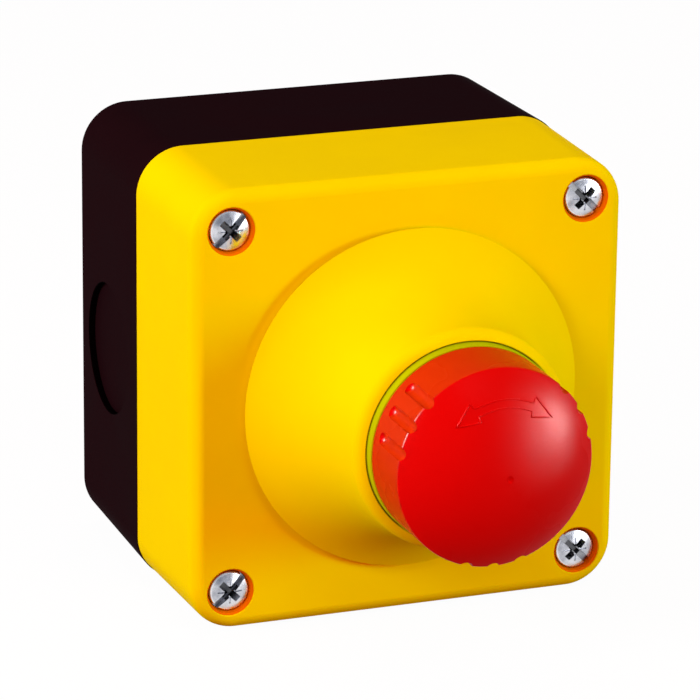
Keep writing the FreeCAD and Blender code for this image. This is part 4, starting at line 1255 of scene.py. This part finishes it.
    def arrow_outline(self) -> Chain:
        """Draws the double-headed turn arrow as the viewer sees it.

        Returns:
            Its outline in millimetres, from the tip of the right head round below the left one.
        """
        right = self.arrow_angle
        left = 180.0 - right
        head = [self.arrow_tip, self.inner_barb]
        outline = head + arc((0, 0), self.arrow_inner, right, left, self.arrow_steps)
        outline += [(-x, z) for x, z in (self.inner_barb, self.arrow_tip, self.outer_barb)]
        return outline + arc((0, 0), self.arrow_outer, left, right, self.arrow_steps) + [self.outer_barb]

    def arrow(self) -> None:
        """Models the turn arrow as a fine bead that lies on the dome."""
        outline = self.arrow_outline()
        points = []
        for (x, z), (next_x, next_z) in zip(outline, outline[1:] + outline[:1]):
            parts = max(1, round(math.hypot(next_x - x, next_z - z) / self.arrow_part))
            for part in range(parts):
                across = x + (next_x - x) * part / parts
                up = z + (next_z - z) * part / parts
                points.append((across, -self.dome(math.hypot(across, up)), up))
        thread("turn_arrow", points)
        bpy.ops.mesh.edge_face_add()
        bpy.ops.mesh.delete(type="ONLY_FACE")
        bpy.ops.object.mode_set(mode="OBJECT")
        bpy.ops.object.convert(target="CURVE")
        piece = bpy.context.object
        piece.data.bevel_depth = self.arrow_bead
        piece.data.bevel_resolution = 2
        bpy.ops.object.convert(target="MESH")
        piece = bpy.context.object
        smooth(piece, 60)
        dress(piece, Finish.RED, Body.BUTTON)

    def build(self) -> None:
        """Models the button and its arrow."""
        self.cap()
        self.arrow()


@dataclass
class PositionRing:
    """Yellow-green ring that shows under the skirt until the button is pushed in. Millimetres."""

    under: float = field(default_factory=lambda: depth_of("position_ring", False))
    spigot_top: float = field(default_factory=lambda: depth_of("position_ring"))
    radius: float = 17.62
    wall: float = 1.4
    height: float = 6.5
    web: float = 1.3
    spigot_outer: float = 15.35
    spigot_wall: float = 1.4
    edge: float = 0.25
    turn_steps: int = 256

    def build(self) -> None:
        """Models the ring."""
        edge = self.edge
        top = self.under + self.height
        outer = self.radius
        inner = outer - self.wall
        spigot = self.spigot_outer
        end = self.spigot_top
        hollow = spigot - self.spigot_wall
        chain = [(inner, self.under), (outer - edge, self.under), (outer, self.under + edge),
                 (outer, top - edge / 2), (outer - edge / 2, top), (spigot, top), (spigot, end - edge),
                 (spigot - edge, end), (hollow, end), (hollow, top - self.web), (inner, top - self.web),
                 (inner, self.under)]
        piece = lathe("ring_band", chain, self.turn_steps)
        smooth(piece)
        dress(piece, Finish.RING, Body.BUTTON, "position_ring")


class InnerWorks:
    """Pieces inside the box that keep their CAD shape and get a finish."""

    def dress(self) -> None:
        """Gives every CAD node the finish of its slot."""
        by_slot = {finish.value.name: finish for finish in Finish}
        for part in frame["record"]["subparts"]:
            node = frame["nodes"][part["node"]]
            finish = by_slot[part["material_slot"]]
            node.data.materials.clear()
            node.data.materials.append(MATERIALS[finish])
            log.info("%s: %s", part["node"], finish.value.name)


@dataclass(frozen=True)
class Softbox:
    """A round or oval studio light that faces the object. Metres, degrees and watts.

    The azimuth goes from the viewer's side to the right. With no height the light is round, and with
    no pieces it lights all of them.
    """

    name: str
    azimuth: float
    elevation: float
    width: float
    power: float
    reach: Reach = Reach.MATT
    colour: Colour = (1.0, 1.0, 1.0)
    height: float = 0.0
    distance: float = 0.9
    target: tuple[float, float, float] = (0.0, -0.055, 0.0)
    pieces: tuple[str, ...] = ()

    def build(self) -> None:
        """Adds the light."""
        clear_selection()
        turn = math.radians(self.azimuth)
        rise = math.radians(self.elevation)
        way = Vector((math.sin(turn) * math.cos(rise), -math.cos(turn) * math.cos(rise), math.sin(rise)))
        place = Vector(self.target) + way * self.distance
        bpy.ops.object.light_add(type="AREA", location=place)
        lamp = bpy.context.object
        lamp.name = self.name
        lamp.data.shape = "ELLIPSE"
        lamp.data.size = self.width
        lamp.data.size_y = self.height or self.width
        lamp.data.energy = self.power
        lamp.data.color = self.colour
        lamp.visible_camera = False
        lamp.visible_diffuse = self.reach is Reach.MATT
        lamp.visible_glossy = self.reach is Reach.GLOSS
        lamp.rotation_euler = (Vector(self.target) - place).to_track_quat("-Z", "Y").to_euler()
        if self.pieces:
            lit = bpy.data.collections.new(self.name)
            for name in self.pieces:
                lit.objects.link(bpy.data.objects[name])
            lamp.light_linking.receiver_collection = lit


def dome_card(name: str, azimuth: float, elevation: float, width: float, power: float) -> Softbox:
    """A light close to the button that shows only as a highlight on its dome."""
    return Softbox(name, azimuth, elevation, width, power, Reach.GLOSS, CARD_TONE, distance=CARD_DISTANCE,
                   target=BUTTON_FRONT, pieces=BUTTON_PIECES)


@dataclass
class Studio:
    """Camera, lights, floor and world. The eye and the lens are in millimetres, the angles in radians."""

    eye: tuple[float, float, float] = (-268.02, -743.56, 244.93)
    yaw: float = 0.36098
    pitch: float = 0.31294
    roll: float = 0.0112
    lens: float = 229.8
    sensor: float = 36.0
    clip: Point = (0.01, 50.0)
    floor_level: float = field(default_factory=lambda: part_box("enclosure_base")[0].z)
    floor_size: float = 12.0
    floor_glow: float = 0.97
    floor_paper: Colour = (0.9, 0.9, 0.9)
    floor_bounce: Colour = (0.2, 0.18, 0.17)
    world_light: Colour = (1.0, 0.16, 0.12)
    world_level: float = 0.3
    world_mirrored: Colour = (0.45, 0.47, 0.52)
    softboxes: tuple[Softbox, ...] = (
        Softbox("left_softbox", -98, 15, 0.3, 4.5),
        Softbox("upper_left_softbox", -60, 32, 0.35, 4.2),
        Softbox("top_softbox", 0, 48, 0.4, 1.5),
        Softbox("back_softbox", 180, 72, 0.4, 1.9),
        Softbox("right_softbox", 48, 10, 0.3, 4.5, colour=(0.48, 1.0, 0.8)),
        Softbox("side_softbox", 95, 8, 0.3, 1.8, colour=(1.0, 0.6, 0.4)),
        Softbox("warm_fill", -25, 5, 0.8, 2.8, colour=(1.0, 0.1, 0.06), height=0.3),
        Softbox("warm_low_fill", 38, -2, 0.6, 1.3, colour=(1.0, 0.05, 0.02), height=0.012,
                pieces=("cover_front",)),
        Softbox("left_card", -100, 20, 0.5, 280.0, Reach.GLOSS, pieces=BUTTON_PIECES),
        Softbox("screw_card", 42, 2, 0.4, 1.65, Reach.GLOSS, distance=0.6, pieces=SCREW_PIECES),
        dome_card("right_wide_card", 53.0, 8.6, 0.1064, 1.05),
        dome_card("right_middle_card", 56.5, 14.8, 0.0698, 1.16),
        dome_card("right_hot_card", 63.8, 16.1, 0.0354, 0.58))

    def camera(self) -> None:
        """Sets the camera where the photograph was taken from."""
        clear_selection()
        bpy.ops.object.camera_add(location=[value * MM for value in self.eye])
        piece = bpy.context.object
        piece.name = "camera"
        level = math.cos(self.pitch)
        forward = Vector((math.sin(self.yaw) * level, math.cos(self.yaw) * level, -math.sin(self.pitch)))
        right = Vector((math.cos(self.yaw), -math.sin(self.yaw), 0))
        up = right.cross(forward)
        tilted_right = math.cos(self.roll) * right + math.sin(self.roll) * up
        tilted_up = math.cos(self.roll) * up - math.sin(self.roll) * right
        piece.rotation_euler = Matrix((tilted_right, tilted_up, -forward)).transposed().to_euler()
        piece.data.lens = self.lens
        piece.data.sensor_width = self.sensor
        piece.data.clip_start, piece.data.clip_end = self.clip
        bpy.context.scene.camera = piece

    def floor(self) -> None:
        """Lays a white floor that still takes a soft shadow."""
        clear_selection()
        bpy.ops.mesh.primitive_plane_add(size=self.floor_size, location=(0, 0, self.floor_level))
        piece = bpy.context.object
        piece.name = "floor"
        settle(piece)
        board = NodeBoard("floor_white")
        paper = board.add("ShaderNodeBsdfDiffuse", Color=(*self.floor_paper, 1.0))
        glow = board.add("ShaderNodeEmission", Color=(1.0, 1.0, 1.0, 1.0), Strength=1.0)
        white = board.add("ShaderNodeMixShader", Fac=self.floor_glow)
        board.link(paper.outputs["BSDF"], white.inputs[1])
        board.link(glow.outputs["Emission"], white.inputs[2])
        dim = board.add("ShaderNodeBsdfDiffuse", Color=(*self.floor_bounce, 1.0))
        path = board.add("ShaderNodeLightPath")
        seen = path.outputs["Is Camera Ray"]
        for name in ("Is Glossy Ray", "Is Transmission Ray"):
            either = board.add("ShaderNodeMath")
            either.operation = "MAXIMUM"
            board.link(seen, either.inputs[0])
            board.link(path.outputs[name], either.inputs[1])
            seen = either.outputs["Value"]
        mix = board.add("ShaderNodeMixShader")
        board.link(seen, mix.inputs["Fac"])
        board.link(dim.outputs["BSDF"], mix.inputs[1])
        board.link(white.outputs["Shader"], mix.inputs[2])
        piece.data.materials.append(board.close(mix.outputs["Shader"]))

    def world(self) -> None:
        """Gives the scene a warm surrounding that metal mirrors as plain grey."""
        world = bpy.data.worlds.new("surround")
        bpy.context.scene.world = world
        world.use_nodes = True
        nodes = world.node_tree.nodes
        links = world.node_tree.links
        warm = nodes["Background"]
        warm.inputs["Color"].default_value = (*self.world_light, 1.0)
        warm.inputs["Strength"].default_value = self.world_level
        plain = nodes.new("ShaderNodeBackground")
        plain.inputs["Color"].default_value = (*self.world_mirrored, 1.0)
        path = nodes.new("ShaderNodeLightPath")
        mix = nodes.new("ShaderNodeMixShader")
        links.new(path.outputs["Is Glossy Ray"], mix.inputs["Fac"])
        links.new(warm.outputs["Background"], mix.inputs[1])
        links.new(plain.outputs["Background"], mix.inputs[2])
        links.new(mix.outputs["Shader"], nodes["World Output"].inputs["Surface"])

    def build(self) -> None:
        """Sets up the whole studio."""
        self.camera()
        self.floor()
        self.world()
        for softbox in self.softboxes:
            softbox.build()
        bpy.context.scene.view_settings.view_transform = "Standard"


def main() -> None:
    """Builds the station and its studio in order."""
    logging.basicConfig(level=logging.INFO, format="%(message)s")
    InnerWorks().dress()
    EnclosureBase().build()
    Cover().build()
    CoverScrews().build()
    PositionRing().build()
    Button().build()
    Studio().build()
    clear_selection()


if __name__ == "__main__":
    main()
